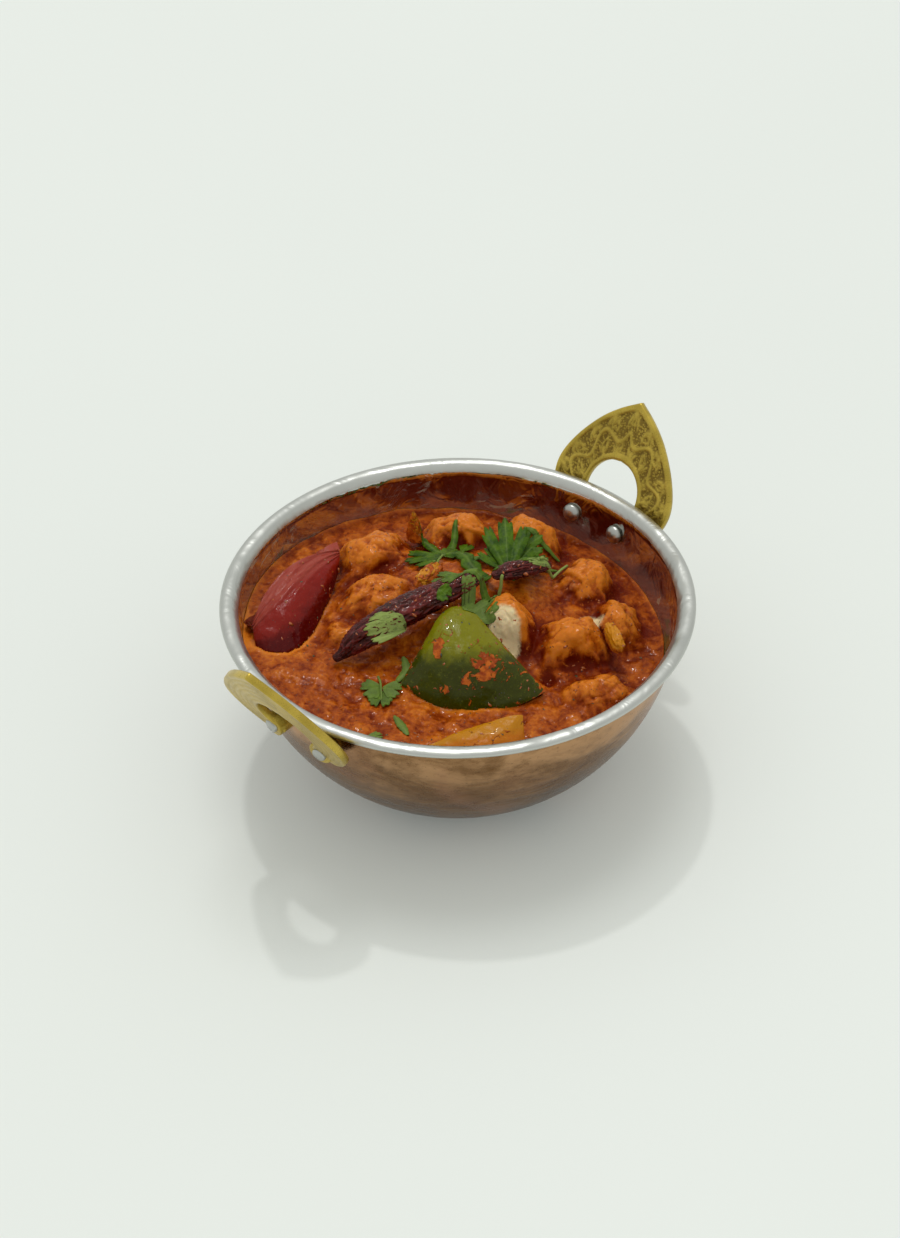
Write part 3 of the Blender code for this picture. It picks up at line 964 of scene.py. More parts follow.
@dataclass
class Handle:
    """One cast arch that leans out from the rim, with a scroll in relief and two rivets."""

    side: Side
    bowl: Bowl
    reach: float = 76.0
    lean: float = math.radians(28)
    thickness: float = 2.6
    outside: tuple = ((0, 31), (6.6, 26.6), (12.6, 21.2), (18.4, 13.6), (22.3, 6.0),
                      (23.4, -0.4), (21.7, -6.8), (17.6, -11.8), (13.4, -14.4))
    opening: tuple = (10.4, 11.2)
    opening_height: float = -1.0
    feet: tuple = ((7.4, -7.9), (5.6, -11.2), (8.2, -14.0))
    steps: int = 96
    across: int = 40
    border: float = 0.13
    recess: float = 0.75
    boss_radius: float = 4.0
    rivet_angle: float = math.radians(7.7)
    rivet_tilt: float = math.radians(10)
    rivet_height: float = -8.8

    @property
    def label(self) -> str:
        """The side's name in lower case."""
        return self.side.name.lower()

    def edges(self) -> tuple[list[Vector], list[Vector]]:
        """Outer and inner edge of one half, from crown to foot.

        Returns:
            Two runs of the same length.
        """
        outer = smooth_run([(u, v, 0) for u, v in self.outside], self.steps)
        arch = [(self.opening[0] * math.cos(math.radians(d)),
                 self.opening_height + self.opening[1] * math.sin(math.radians(d)), 0)
                for d in range(90, -21, -22)]
        arch += [(u, v, 0) for u, v in self.feet]
        return outer, smooth_run(arch, self.steps)

    def scroll(self, along: np.ndarray, over: np.ndarray) -> np.ndarray:
        """Height of the raised scroll: a winding stem with leaves on both sides.

        Args:
            along: Millimetres from the crown, down one half.
            over: 0 at the outer edge and 1 at the inner one.

        Returns:
            From 0 on the ground to 1 on a crest.
        """
        swing = np.sin(along * 0.44)
        stem = 0.50 + 0.17 * swing
        crest = np.exp(-((over - stem) / 0.06) ** 2)
        for shift, lean in ((0.0, 1.0), (3.6, -1.0)):
            cycle = (along + shift) / 7.14
            part = cycle - np.floor(cycle)
            reach = 0.32 - 0.14 * swing * lean
            axis = stem + lean * reach * np.sin(part * math.pi) ** 0.8
            width = 0.11 * np.sin(part * math.pi) + 0.012
            leaf = np.exp(-((over - axis) / width) ** 2) * np.sin(part * math.pi) ** 0.5
            notch = 0.78 + 0.22 * np.cos(part * math.tau * 4)
            crest = np.maximum(crest, 0.95 * leaf * notch)
            curl = np.hypot((part - 0.42) * 7.14 / 2.3, (over - axis + lean * 0.12) / 0.15)
            ring = np.exp(-((curl - 0.55) / 0.20) ** 2)
            crest = np.maximum(crest, 0.8 * ring)
        return np.clip(crest, 0.0, 1.0)

    def sheet(self, outwards: bool) -> bmesh.types.BMesh:
        """One face of the arch, as a fine grid with its relief.

        Args:
            outwards: Whether it is the plainer face that looks away from the bowl.

        Returns:
            An open sheet on the handle's own axes, in millimetres.
        """
        outer, inner = self.edges()
        bm = bmesh.new()
        bmesh.ops.create_grid(bm, x_segments=2 * self.steps, y_segments=self.across, size=1)
        grid = positions(bm)
        step = np.clip(np.rint(np.abs(grid[:, 0]) * self.steps).astype(int), 0, self.steps)
        over = (grid[:, 1] + 1) / 2
        outer_rows = np.array([p[:] for p in outer])[step]
        inner_rows = np.array([p[:] for p in inner])[step]
        flat = outer_rows * (1 - over)[:, None] + inner_rows * over[:, None]
        flat[:, 0] *= np.where(grid[:, 0] < -1e-6, -1, 1)
        middle = np.array([p[:] for p in outer]) * 0.5 + np.array([p[:] for p in inner]) * 0.5
        run = np.concatenate([[0], np.cumsum(np.linalg.norm(np.diff(middle, axis=0), axis=1))])
        along = run[step]
        rim = np.minimum(over, 1 - over)
        field_mask = smooth_step(self.border * 0.78, self.border * 1.15, rim)
        ends = smooth_step(run[-1] - 1.2, run[-1] - 2.6, along)
        field_mask = field_mask * ends
        grain = Grain(11)
        stipple = grain.at(np.stack([flat[:, 0], flat[:, 1], 0 * along], 1) * 2.3)
        if outwards:
            lines = 0.5 + 0.5 * np.cos((over - 0.5) * 36)
            relief = field_mask * (0.16 * lines + 0.05 * stipple)
            sunk = field_mask * 0.35 * lines
        else:
            crest = self.scroll(along, over)
            ground = 1 - crest
            relief = field_mask * (self.recess * ground + 0.10 * stipple * ground)
            sunk = field_mask * ground
        edge = np.clip(rim / 0.05, 0, 1)
        tip = np.clip((run[-1] - along) / 0.8, 0, 1)
        rounding = 0.5 * (1 - np.sqrt(1 - (1 - np.minimum(edge, tip)) ** 2))
        depth = relief + rounding
        flat[:, 2] = self.thickness - depth if outwards else depth
        place(bm, flat)
        paint(bm, "sunk", sunk)
        return bm

    def stand(self) -> Matrix:
        """Matrix from the handle's own axes, in millimetres, to the part's frame.

        Returns:
            The matrix.
        """
        lean = Matrix((
            (0, math.sin(self.lean), math.cos(self.lean), self.reach),
            (1, 0, 0, 0),
            (0, math.cos(self.lean), -math.sin(self.lean), RIM_HEIGHT / MM),
            (0, 0, 0, 1),
        ))
        return Matrix.Rotation(math.radians(self.side.value), 4, "Z") @ Matrix.Scale(MM, 4) @ lean

    def rivet_stand(self, way: int) -> Matrix:
        """Matrix of a rivet, whose +Z points along it into the bowl.

        Args:
            way: -1 or 1, for the two feet.

        Returns:
            The matrix, in metres.
        """
        turn = way * self.rivet_angle
        outward = Vector((math.cos(turn) * math.cos(self.rivet_tilt),
                          math.sin(turn) * math.cos(self.rivet_tilt), -math.sin(self.rivet_tilt)))
        reach = self.bowl.wall(self.bowl.hollow_radius, self.rivet_height) - 0.66
        seat = Vector((reach * math.cos(turn), reach * math.sin(turn),
                       RIM_HEIGHT / MM + self.rivet_height))
        side = Matrix.Rotation(math.radians(self.side.value), 4, "Z")
        face = (-outward).to_track_quat("Z", "Y").to_matrix().to_4x4()
        return side @ Matrix.Scale(MM, 4) @ Matrix.Translation(seat) @ face

    def build(self, brass: bpy.types.Material, steel: bpy.types.Material) -> None:
        """Make the arch with its bosses, and the rivets.

        Args:
            brass: The arch's finish.
            steel: The rivets' finish.
        """
        bm = self.sheet(False)
        back = self.sheet(True)
        spare = bpy.data.meshes.new("back")
        bmesh.ops.reverse_faces(bm, faces=bm.faces[:])
        back.to_mesh(spare)
        back.free()
        bm.from_mesh(spare)
        bpy.data.meshes.remove(spare)
        bmesh.ops.bridge_loops(bm, edges=boundary(bm))
        bmesh.ops.recalc_face_normals(bm, faces=bm.faces[:])
        bmesh.ops.transform(bm, matrix=self.stand(), verts=bm.verts[:])
        self.keep_off_bowl(bm)
        for way in (-1, 1):
            made = bmesh.ops.create_cone(bm, cap_ends=True, segments=40, depth=5.0,
                                         radius1=self.boss_radius, radius2=self.boss_radius)
            caps = {face for vert in made["verts"] for face in vert.link_faces
                    if len(face.verts) > 4}
            edges = list({edge for face in caps for edge in face.edges})
            bevel = bmesh.ops.bevel(bm, geom=edges, offset=0.35, segments=3, profile=0.5,
                                    affect="EDGES", material=-1)
            body = {v for v in made["verts"] if v.is_valid} | set(bevel["verts"])
            shift = Matrix.Translation((0, 0, -4.3))
            bmesh.ops.transform(bm, matrix=self.rivet_stand(way) @ shift, verts=list(body))
            self.build_rivet(way, steel)
        finish_piece(f"brass_handle_{self.label}", bm, brass, Slot.BRASS,
                     (f"handle_{self.label}",))

    def keep_off_bowl(self, bm: bmesh.types.BMesh) -> None:
        """Press the arch's feet back to the outside of the bowl's wall.

        Args:
            bm: The arch, in metres.
        """
        centre = Vector((0, 0, RIM_HEIGHT + self.bowl.sphere_height * MM))
        least = (self.bowl.sphere_radius + 0.5) * MM
        for vert in bm.verts:
            arm = vert.co - centre
            if arm.length < least:
                vert.co = centre + arm.normalized() * least

    def build_rivet(self, way: int, steel: bpy.types.Material) -> None:
        """Make one rivet, with a domed head inside the bowl and a flat tail outside.

        Args:
            way: -1 or 1, for the two feet.
            steel: Its finish.
        """
        profile = [(3.1 * math.sin(math.radians(7.5 * i)), 2.1 * math.cos(math.radians(7.5 * i)))
                   for i in range(13)]
        profile += [(3.05, -0.06), (2.3, -0.1), (2.3, -7.35), (2.12, -7.7), (1.9, -7.8), (0, -7.8)]
        bm = spun([(r, 0, z) for r, z in profile], 48, 1e-5)
        bmesh.ops.transform(bm, matrix=self.rivet_stand(way), verts=bm.verts[:])
        foot = "near" if way < 0 else "far"
        finish_piece(f"steel_rivet_{self.label}_{foot}", bm, steel, Slot.STEEL,
                     (f"rivet_{self.label}_{foot}",))


@dataclass(frozen=True)
class Chunk:
    """A cut of chicken: where its middle is on the food axes, its size and turn."""

    node: str
    centre: Point
    size: Point
    turn: float
    slope: tuple[float, float] = (0.0, 0.0)
    squareness: float = 3.0

    def local(self, right: np.ndarray, away: np.ndarray) -> tuple[np.ndarray, np.ndarray]:
        """Place on the cut's own axes, as shares of its half sizes.

        Args:
            right: Food axis.
            away: Food axis.

        Returns:
            Two arrays, within -1 and 1 inside the cut.
        """
        angle = math.radians(self.turn)
        x, y = right - self.centre[0], away - self.centre[1]
        u = (x * math.cos(angle) + y * math.sin(angle)) / (self.size[0] / 2)
        v = (-x * math.sin(angle) + y * math.cos(angle)) / (self.size[1] / 2)
        return u, v

    def top(self, right: np.ndarray, away: np.ndarray, below: np.ndarray) -> np.ndarray:
        """Height of the cut's upper surface.

        Args:
            right: Food axis.
            away: Food axis.
            below: The gravy's level there.

        Returns:
            Heights that fall under the gravy outside the cut.
        """
        u, v = self.local(right, away)
        p = self.squareness
        rho = (np.abs(u) ** p + np.abs(v) ** p) ** (1 / p)
        peak = self.centre[2] + self.size[2] / 2 + self.slope[0] * u + self.slope[1] * v
        shape = np.clip(1 - rho**2.6, 0, 1) ** 0.85
        return (below - 4.0) + (peak - below + 4.0) * shape

    def outline(self, angle: np.ndarray) -> tuple[np.ndarray, np.ndarray]:
        """Point of the footprint in a direction, on the food axes from the cut's middle.

        Args:
            angle: Direction on the cut's own axes.

        Returns:
            Two arrays.
        """
        p = self.squareness
        cos, sin = np.cos(angle), np.sin(angle)
        size = (np.abs(cos) ** p + np.abs(sin) ** p) ** (-1 / p)
        x, y = cos * size * self.size[0] / 2, sin * size * self.size[1] / 2
        turn = math.radians(self.turn)
        return x * math.cos(turn) - y * math.sin(turn), x * math.sin(turn) + y * math.cos(turn)


@dataclass(frozen=True)
class Patch:
    """A place where the sauce is thin and the meat or fat shows pale; the faintest one is a painted
    sheen.
    """

    right: float
    away: float
    wide: float
    deep: float
    amount: float = 1.0


@dataclass(frozen=True)
class Pit:
    """A hollow between pieces, darkened with oiliness and painted shade."""

    right: float
    away: float
    radius: float
    depth: float


CHUNKS = (
    Chunk("chicken_left_back", (-27, 33, -10.5), (28, 23, 20), 20, (0.5, -1.5)),
    Chunk("chicken_left_front", (-26, 10, -10.5), (25, 20, 17), -12, (0.5, 1.0)),
    Chunk("chicken_back", (0, 45, -12.0), (28, 20, 21), 0, (0.0, -1.0)),
    Chunk("chicken_back_right", (24, 40, -11.5), (24, 23, 21), -28, (-1.0, 0.5)),
    Chunk("chicken_middle", (15, -4, -7.0), (20, 18, 17), 10, (0.5, 1.5)),
    Chunk("chicken_right_back", (42, 22, -13.5), (21, 24, 18), -20, (-1.5, 0.5)),
    Chunk("chicken_right", (36, -7, -13.5), (26, 18, 17), 14, (0.5, 1.0)),
    Chunk("chicken_right_wall", (51, 6, -18.0), (17, 23, 16), 8, (-2.0, 0.0)),
    Chunk("chicken_right_front", (44, -25, -21.5), (28, 17, 14), 28, (-1.0, 1.5)),
    Chunk("chicken_small", (-37, -4, -14.0), (12, 12, 10), 30),
)
PATCHES = (
    Patch(14.0, -10.0, 5.6, 5.0, 1.15),
    Patch(42.5, 3.5, 4.6, 4.2, 0.9),
    Patch(36.0, 16.0, 5.0, 3.0, 0.35),
    # Painted sheen on the left back chunk.
    Patch(-26.0, 34.0, 6.0, 5.0, 0.22),
)
PITS = (
    Pit(27.9, -19.6, 2.6, 3.2),
    Pit(-24.0, 22.5, 2.2, 1.6),
    Pit(8.5, 15.5, 2.4, 1.8),
)


class CurrySurface:
    """The curry's whole upper surface: gravy that rises over every cut and sinks under garnish."""

    reach = 70.0
    step = 0.25
    level = -17.7
    fall = 0.075
    blend = 2.0

    def __init__(self, bowl: Bowl, sunk: tuple[str, ...]) -> None:
        """Work the surface out on a square chart.

        Args:
            bowl: The bowl that holds it.
            sunk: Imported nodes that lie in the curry, which stays below their undersides.
        """
        self.bowl = bowl
        axis = np.arange(-self.reach, self.reach + self.step / 2, self.step)
        self.size = len(axis)
        right, away = np.meshgrid(axis, axis)
        self.grain = Grain(5)
        flat = np.stack([right.ravel(), away.ravel(), np.zeros(right.size)], 1)
        shape = right.shape
        warp_right = right + 1.5 * self.grain.fractal(flat / 8.0, 2).reshape(shape)
        warp_away = away + 1.5 * self.grain.fractal(flat / 8.0 + 50, 2).reshape(shape)
        heap = np.exp(-(((right - 5) / 38) ** 2 + ((away - 15) / 28) ** 2))
        level = self.level - self.fall * right + 10.5 * heap
        mass = np.exp(-((((right - 6) / 42) ** 2 + ((away - 16) / 30) ** 2) ** 2))
        level = level + 2.6 * mass
        level = level + 0.7 * self.grain.fractal(flat / 13.0 + 9, 2).reshape(shape)
        tops = [chunk.top(warp_right, warp_away, level) for chunk in CHUNKS]
        stack = np.stack([level, *tops])
        most = stack.max(0)
        height = most + self.blend * np.log(np.exp((stack - most) / self.blend).sum(0))
        far = np.hypot(right, away)
        wall = np.sqrt(np.maximum(
            bowl.hollow_radius**2 - (bowl.sphere_height - height) ** 2, 1.0))
        height = height + 0.9 * np.exp(-np.clip(wall - far, 0, 9) / 1.1)
        self.wet = np.zeros(shape)
        for node in sunk:
            height = self.sink(node, height, right, away)
        for pit in PITS:
            dip = np.exp(-(((right - pit.right) ** 2 + (away - pit.away) ** 2) / pit.radius**2))
            height = height - pit.depth * dip
            # The pits get oiliness and painted shade.
            self.wet = np.maximum(self.wet, 1.3 * dip - 0.2)
        self.pool = smooth_step(2.2, 0.2, most - level)
        self.base = height
        self.finish_charts(right, away, far, wall)

    def sink(self, node: str, height: np.ndarray, right: np.ndarray,
             away: np.ndarray) -> np.ndarray:
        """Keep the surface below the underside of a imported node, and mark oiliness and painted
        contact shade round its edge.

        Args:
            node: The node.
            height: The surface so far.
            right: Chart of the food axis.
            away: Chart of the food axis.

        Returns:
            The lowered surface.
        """
        mesh = frame["nodes"][node].data
        points = world_to_food(np.array([v.co[:] for v in mesh.vertices]))
        faces = [tuple(face.vertices) for face in mesh.polygons]
        tree = BVHTree.FromPolygons([tuple(p) for p in points.tolist()], faces)
        low, high = points.min(0) - 2, points.max(0) + 2
        inside = (right > low[0]) & (right < high[0]) & (away > low[1]) & (away < high[1])
        under = np.full(height.shape, 99.0)
        for row, column in np.argwhere(inside):
            start = Vector((right[row, column], away[row, column], -60.0))
            hit = tree.ray_cast(start, Vector((0, 0, 1)))
            if hit[0] is not None:
                under[row, column] = hit[0].z
            x, y, z = right[row, column], away[row, column], height[row, column]
            distance = tree.find_nearest(Vector((x, y, z)), 3.0)[3]
            if distance is not None:
                # Oiliness and painted contact shade within 1.7 mm of the node.
                self.wet[row, column] = max(self.wet[row, column], 1 - distance / 1.7)
        covered = under < 90
        for shift in ((2, 0), (-2, 0), (0, 2), (0, -2)):
            covered &= np.roll(under < 90, shift, (0, 1))
        return np.where(covered, np.minimum(height, under - 0.35), height)

    def blur(self, chart: np.ndarray, radius: float) -> np.ndarray:
        """Blur a chart.

        Args:
            chart: Values on the chart.
            radius: Millimetres.

        Returns:
            The blurred chart.
        """
        rate = np.fft.fftfreq(self.size, self.step)
        across, along = np.meshgrid(rate, rate)
        fall = np.exp(-2 * (math.pi * radius) ** 2 * (across**2 + along**2))
        return np.real(np.fft.ifft2(np.fft.fft2(chart) * fall))

    def finish_charts(self, right: np.ndarray, away: np.ndarray, far: np.ndarray,
                      wall: np.ndarray) -> None:
        """Add the fine relief and the charts that the shader reads.

        Args:
            right: Chart of the food axis.
            away: Chart of the food axis.
            far: Distance from the bowl's axis.
            wall: Distance of the wall at the surface's height.
        """
        shape = right.shape
        along, across = np.gradient(self.blur(self.base, 0.3), self.step)
        normal = np.stack([-across, -along, np.ones(shape)])
        normal /= np.linalg.norm(normal, axis=0)
        spots = np.stack([right.ravel(), away.ravel(), self.base.ravel()], 1)
        grain = self.grain
        swirl = spots + 1.3 * np.stack([grain.at(spots / 4.0 + k) for k in (3, 61, 97)], 1)
        lumps = 1.15 * grain.fractal(spots / 9.5 + 4, 2)
        folds = -0.95 * grain.ridges(swirl / 6.5, 2) ** 2
        curds = 0.26 * grain.fractal(swirl / 2.6 + 8, 2)
        grit = 0.10 * grain.fractal(spots / 1.05 + 20, 2)
        pool = self.pool.ravel()
        depth = (lumps * (1 - 0.55 * pool) + folds * (1 - 0.6 * pool) + curds + grit)
        depth = depth.reshape(shape) * smooth_step(0.2, 2.4, wall - far)
        depth = depth * (1 - 0.75 * smooth_step(0.2, 0.9, self.wet))
        self.offset = normal * depth
        raised = self.base + depth
        fine = raised - self.blur(raised, 1.1)
        broad = raised - self.blur(raised, 3.6)
        # Cavity is below 0 in hollows and above 0 on crests; the sauce paints shade in the hollows
        # and light on the crests.
        self.cavity = np.clip(fine / 0.55 * 0.5 + broad / 2.2 * 0.6, -1.4, 1.4)
        self.bare = np.zeros(shape)
        for patch in PATCHES:
            gap = ((right - patch.right) / patch.wide) ** 2 + ((away - patch.away) / patch.deep) ** 2
            self.bare = np.maximum(self.bare, patch.amount * np.exp(-gap))
        self.wet = np.clip(self.wet, 0, 1)

    def read(self, chart: np.ndarray, right: np.ndarray, away: np.ndarray) -> np.ndarray:
        """Look a chart up between its points.

        Args:
            chart: The chart.
            right: Food axis.
            away: Food axis.

        Returns:
            One value a place.
        """
        x = np.clip((right + self.reach) / self.step, 0, self.size - 1.001)
        y = np.clip((away + self.reach) / self.step, 0, self.size - 1.001)
        i, j = x.astype(int), y.astype(int)
        s, t = x - i, y - j
        low = chart[j, i] * (1 - s) + chart[j, i + 1] * s
        high = chart[j + 1, i] * (1 - s) + chart[j + 1, i + 1] * s
        return low * (1 - t) + high * t

    def skin(self, right: np.ndarray, away: np.ndarray, lift: np.ndarray | float = 0.0) -> np.ndarray:
        """Points of the finished surface.

        Args:
            right: Food axis.
            away: Food axis.
            lift: Extra height.

        Returns:
            Rows on the food axes.
        """
        shift = [self.read(self.offset[k], right, away) for k in range(3)]
        height = self.read(self.base, right, away) + shift[2] + lift
        return np.stack([right + shift[0], away + shift[1], height], 1)

    def dress(self, bm: bmesh.types.BMesh, right: np.ndarray, away: np.ndarray,
              show: np.ndarray | float = 1.0) -> None:
        """Paint the charts on a mesh.

        Args:
            bm: The mesh.
            right: Food axis of every vertex.
            away: Food axis of every vertex.
            show: 0 where the charts don't count.
        """
        for name in ("cavity", "pool", "bare", "wet"):
            paint(bm, name, self.read(getattr(self, name), right, away) * show)

    def edge_radius(self, angle: np.ndarray) -> np.ndarray:
        """Where the surface meets the wall, by direction on the food axes.

        Args:
            angle: Directions.

        Returns:
            Distances from the bowl's axis.
        """
        radius = np.full(len(angle), 66.0)
        for _ in range(6):
            height = self.read(self.base, radius * np.cos(angle), radius * np.sin(angle))
            drop = self.bowl.sphere_height - height
            radius = np.sqrt((self.bowl.hollow_radius - 0.12) ** 2 - drop**2)
        return radius


@dataclass
class Curry:
    """The gravy and the chicken in it."""

    bowl: Bowl
    surface: CurrySurface
    cells: int = 290
    rings: int = 6

    def build(self) -> None:
        """Make the gravy and every cut of chicken."""
        sauce = SauceFinish().make()
        self.build_gravy(sauce)
        for chunk in CHUNKS:
            self.build_chunk(chunk, sauce)

    def build_gravy(self, sauce: bpy.types.Material) -> None:
        """Make the gravy: the surface on top, the bowl's wall round it, closed at the floor.

        Args:
            sauce: Its finish.
        """
        bm = bmesh.new()
        bmesh.ops.create_grid(bm, x_segments=self.cells, y_segments=self.cells, size=1)
        edges = boundary(bm)
        for _ in range(self.rings):
            made = bmesh.ops.extrude_edge_only(bm, edges=edges)["geom"]
            verts = [g for g in made if isinstance(g, bmesh.types.BMVert)]
            edges = [g for g in made if isinstance(g, bmesh.types.BMEdge)]
            bmesh.ops.translate(bm, verts=verts, vec=(0, 0, -1))
        bmesh.ops.holes_fill(bm, edges=edges)
        grid = positions(bm)
        x, y, ring = grid[:, 0], grid[:, 1], -grid[:, 2]
        across, along = x * np.sqrt(1 - y**2 / 2), y * np.sqrt(1 - x**2 / 2)
        share = np.minimum(np.hypot(across, along), 1.0)
        angle = np.arctan2(along, across)
        radius = self.surface.edge_radius(angle)
        right, away = share * radius * np.cos(angle), share * radius * np.sin(angle)
        points = self.surface.skin(right, away)
        fade = smooth_step(1.0, 0.985, share)
        still = np.stack([right, away, self.surface.read(self.surface.base, right, away)], 1)
        points = still + (points - still) * fade[:, None]
        floor = self.bowl.floor + 1.7
        part = ring / self.rings
        lower = points[:, 2] + (floor - points[:, 2]) * part
        sphere = self.bowl.hollow_radius - 0.4
        reach = np.sqrt(np.maximum(sphere**2 - (self.bowl.sphere_height - lower) ** 2, 1))
        reach = np.where(part > 0.99, self.bowl.base_radius - 1, reach)
        side = ring > 0.5
        points[side, 0] = (reach * np.cos(angle))[side]
        points[side, 1] = (reach * np.sin(angle))[side]
        points[side, 2] = lower[side]
        place(bm, food_to_world(points))
        self.surface.dress(bm, right, away)
        bmesh.ops.recalc_face_normals(bm, faces=bm.faces[:])
        finish_piece("curry_gravy", bm, sauce, Slot.GRAVY, ("gravy",))

    def build_chunk(self, chunk: Chunk, sauce: bpy.types.Material) -> None:
        """Make one cut: its top follows the curry's surface just above the gravy.

        Args:
            chunk: The cut.
            sauce: Its finish.
        """
        bm = bmesh.new()
        bmesh.ops.create_uvsphere(bm, u_segments=150, v_segments=90, radius=1)
        ball = positions(bm)
        angle = np.arctan2(ball[:, 1], ball[:, 0])
        polar = np.arccos(np.clip(np.abs(ball[:, 2]), 0, 1)) / (math.pi / 2)
        out_right, out_away = chunk.outline(angle)
        right = chunk.centre[0] + out_right * polar * 0.97
        away = chunk.centre[1] + out_away * polar * 0.97
        far = np.hypot(right, away)
        limit = self.surface.edge_radius(np.arctan2(away, right)) - 0.8
        right, away = right * np.minimum(1, limit / far), away * np.minimum(1, limit / far)
        lift = 0.22 - 1.5 * smooth_step(0.62, 1.0, polar)
        points = self.surface.skin(right, away, lift)
        under = ball[:, 2] < 0
        deep = np.sqrt(np.clip(1 - polar**2.5, 0, 1))
        low = np.minimum(chunk.centre[2] - chunk.size[2] / 2 * deep, points[:, 2] - 0.4 * deep)
        points[under, 2] = low[under]
        place(bm, food_to_world(points))
        bmesh.ops.recalc_face_normals(bm, faces=bm.faces[:])
        self.surface.dress(bm, right, away)
        finish_piece(chunk.node.replace("chicken", "sauced_chicken"), bm, sauce, Slot.CHICKEN,
                     (chunk.node,))


def quadratic(points: tuple[Point, Point, Point], t: np.ndarray) -> np.ndarray:
    """Points on the curve through start, middle and end.

    Args:
        points: The three points.
        t: Shares of the way.

    Returns:
        One row a share.
    """
    a, b, c = (np.array(p, float) for p in points)
    t = t[:, None]
    return a * (1 - t) * (1 - 2 * t) + b * 4 * t * (1 - t) + c * t * (2 * t - 1)


@dataclass
class PepperSlice:
    """A bent slice of pepper between two curved edges."""

    name: str
    node: str
    slot: Slot
    finish: PepperFinish
    lower: tuple[Point, Point, Point]
    upper: tuple[Point, Point, Point]
    bulge: Point
    thickness: float
    crease: float = 0.5
    sharp: float = 1.0
    ribs: float = 0.0
    seed: int = 3
    smears: tuple[tuple[float, float, float], ...] = ()

    def build(self) -> bpy.types.Object:
        """Make the slice.

        Returns:
            The piece.
        """
        across, up = 84, 60
        bm = bmesh.new()
        bmesh.ops.create_grid(bm, x_segments=across, y_segments=up, size=1)
        grid = positions(bm)
        a, b = (grid[:, 0] + 1) / 2, (grid[:, 1] + 1) / 2
        low, high = quadratic(self.lower, a), quadratic(self.upper, a)
        swell = (4 * a * (1 - a)) ** 0.7
        fold = np.where(b < self.crease, b / self.crease, (1 - b) / (1 - self.crease))
        fold = np.sin(np.clip(fold, 0, 1) * math.pi / 2) ** (1 / self.sharp)
        grain = Grain(self.seed)
        rows = low + (high - low) * b[:, None]
        rows += np.array(self.bulge)[None, :] * (swell * fold)[:, None]
        way = np.array(self.bulge) / np.linalg.norm(self.bulge)
        dents = 0.55 * grain.fractal(rows / 9.0, 2) + 0.16 * grain.fractal(rows / 2.6, 2)
        dents += 0.35 * self.ribs * np.cos(b * 46.0 + 3 * np.sin(a * 5)) * smooth_step(0.6, 0.8, b)
        rows += way[None, :] * dents[:, None]
        place(bm, food_to_world(rows))
        # low marks the lower edge, which the finish darkens with painted shade.
        paint(bm, "low", 1 - b)
        smear = np.zeros(len(a))
        for where_a, where_b, size in self.smears:
            gap = np.hypot((a - where_a) / size, (b - where_b) / (size * 1.2))
            smear = np.maximum(smear, 1 - gap * 0.8)
        edge = np.minimum(np.minimum(a, 1 - a), b)
        smear = np.maximum(smear, 0.55 - edge * 9)
        paint(bm, "smear", np.clip(smear, 0, 1))
        paint(bm, "cut", np.zeros(len(a)))
        streak = 0.5 + 0.5 * grain.at(np.stack([a * 9, b * 60, 0 * a], 1))
        paint(bm, "band", self.ribs * smooth_step(0.66, 0.86, b) * streak)
        bmesh.ops.recalc_face_normals(bm, faces=bm.faces[:])
        cos, sin = math.cos(FOOD_TURN), math.sin(FOOD_TURN)
        outward = Vector((way[0] * cos - way[1] * sin, way[0] * sin + way[1] * cos, way[2]))
        if sum(face.normal.dot(outward) for face in bm.faces) < 0:
            bmesh.ops.reverse_faces(bm, faces=bm.faces[:])
        rim = {vert for edge in boundary(bm) for vert in edge.verts}
        skin = bm.faces[:]
        bmesh.ops.solidify(bm, geom=skin, thickness=self.thickness * MM)
        layer = bm.verts.layers.float["cut"]
        for vert in bm.verts:
            if vert in rim:
                vert[layer] = 0.25
        corners = [e for e in bm.edges if e.is_manifold and e.calc_face_angle(0) > 1.0]
        bmesh.ops.bevel(bm, geom=corners, offset=min(0.9, self.thickness * 0.3) * MM,
                        segments=3, profile=0.5, affect="EDGES", material=-1,
                        clamp_overlap=True)
        bmesh.ops.recalc_face_normals(bm, faces=bm.faces[:])
        return finish_piece(self.name, bm, self.finish.make(), self.slot, (self.node,))


@dataclass
class PepperCut:
    """A small rounded cut of pepper that lies in the sauce."""

    name: str
    node: str
    centre: Point
    size: Point
    turn: float
    taper: float = 0.15
    sauced: float = 0.55

    def build(self, finish: bpy.types.Material) -> None:
        """Make the cut.

        Args:
            finish: Its finish.
        """
        bm = bmesh.new()
        bmesh.ops.create_cube(bm, size=2)
        bmesh.ops.subdivide_edges(bm, edges=bm.edges[:], cuts=24, use_grid_fill=True)
        block = positions(bm)
        ball = block / np.linalg.norm(block, axis=1)[:, None]
        shape = block * 0.28 + ball * 0.74
        grain = Grain(len(self.name))
        shape *= (1 + 0.16 * grain.fractal(ball * 1.8, 3))[:, None]
        shape[:, :2] *= (1 - self.taper * (1 + shape[:, 2]) / 2)[:, None]
        place(bm, shape * np.array(self.size) / 2)
        turn = Matrix.Rotation(math.radians(self.turn), 4, "Z")
        bmesh.ops.transform(bm, matrix=Matrix.Translation(self.centre) @ turn, verts=bm.verts[:])
        rows = positions(bm)
        place(bm, food_to_world(rows))
        high = smooth_step(-1, 1, (rows[:, 2] - self.centre[2]) / (self.size[2] / 2))
        # low marks the lower side, which the finish darkens with painted shade.
        paint(bm, "low", 1 - high)
        paint(bm, "cut", 0 * high)
        paint(bm, "band", 0 * high)
        paint(bm, "smear", self.sauced * (1 + 0.8 * (1 - high)))
        bmesh.ops.recalc_face_normals(bm, faces=bm.faces[:])
        finish_piece(self.name, bm, finish, Slot.YELLOW, (self.node,))


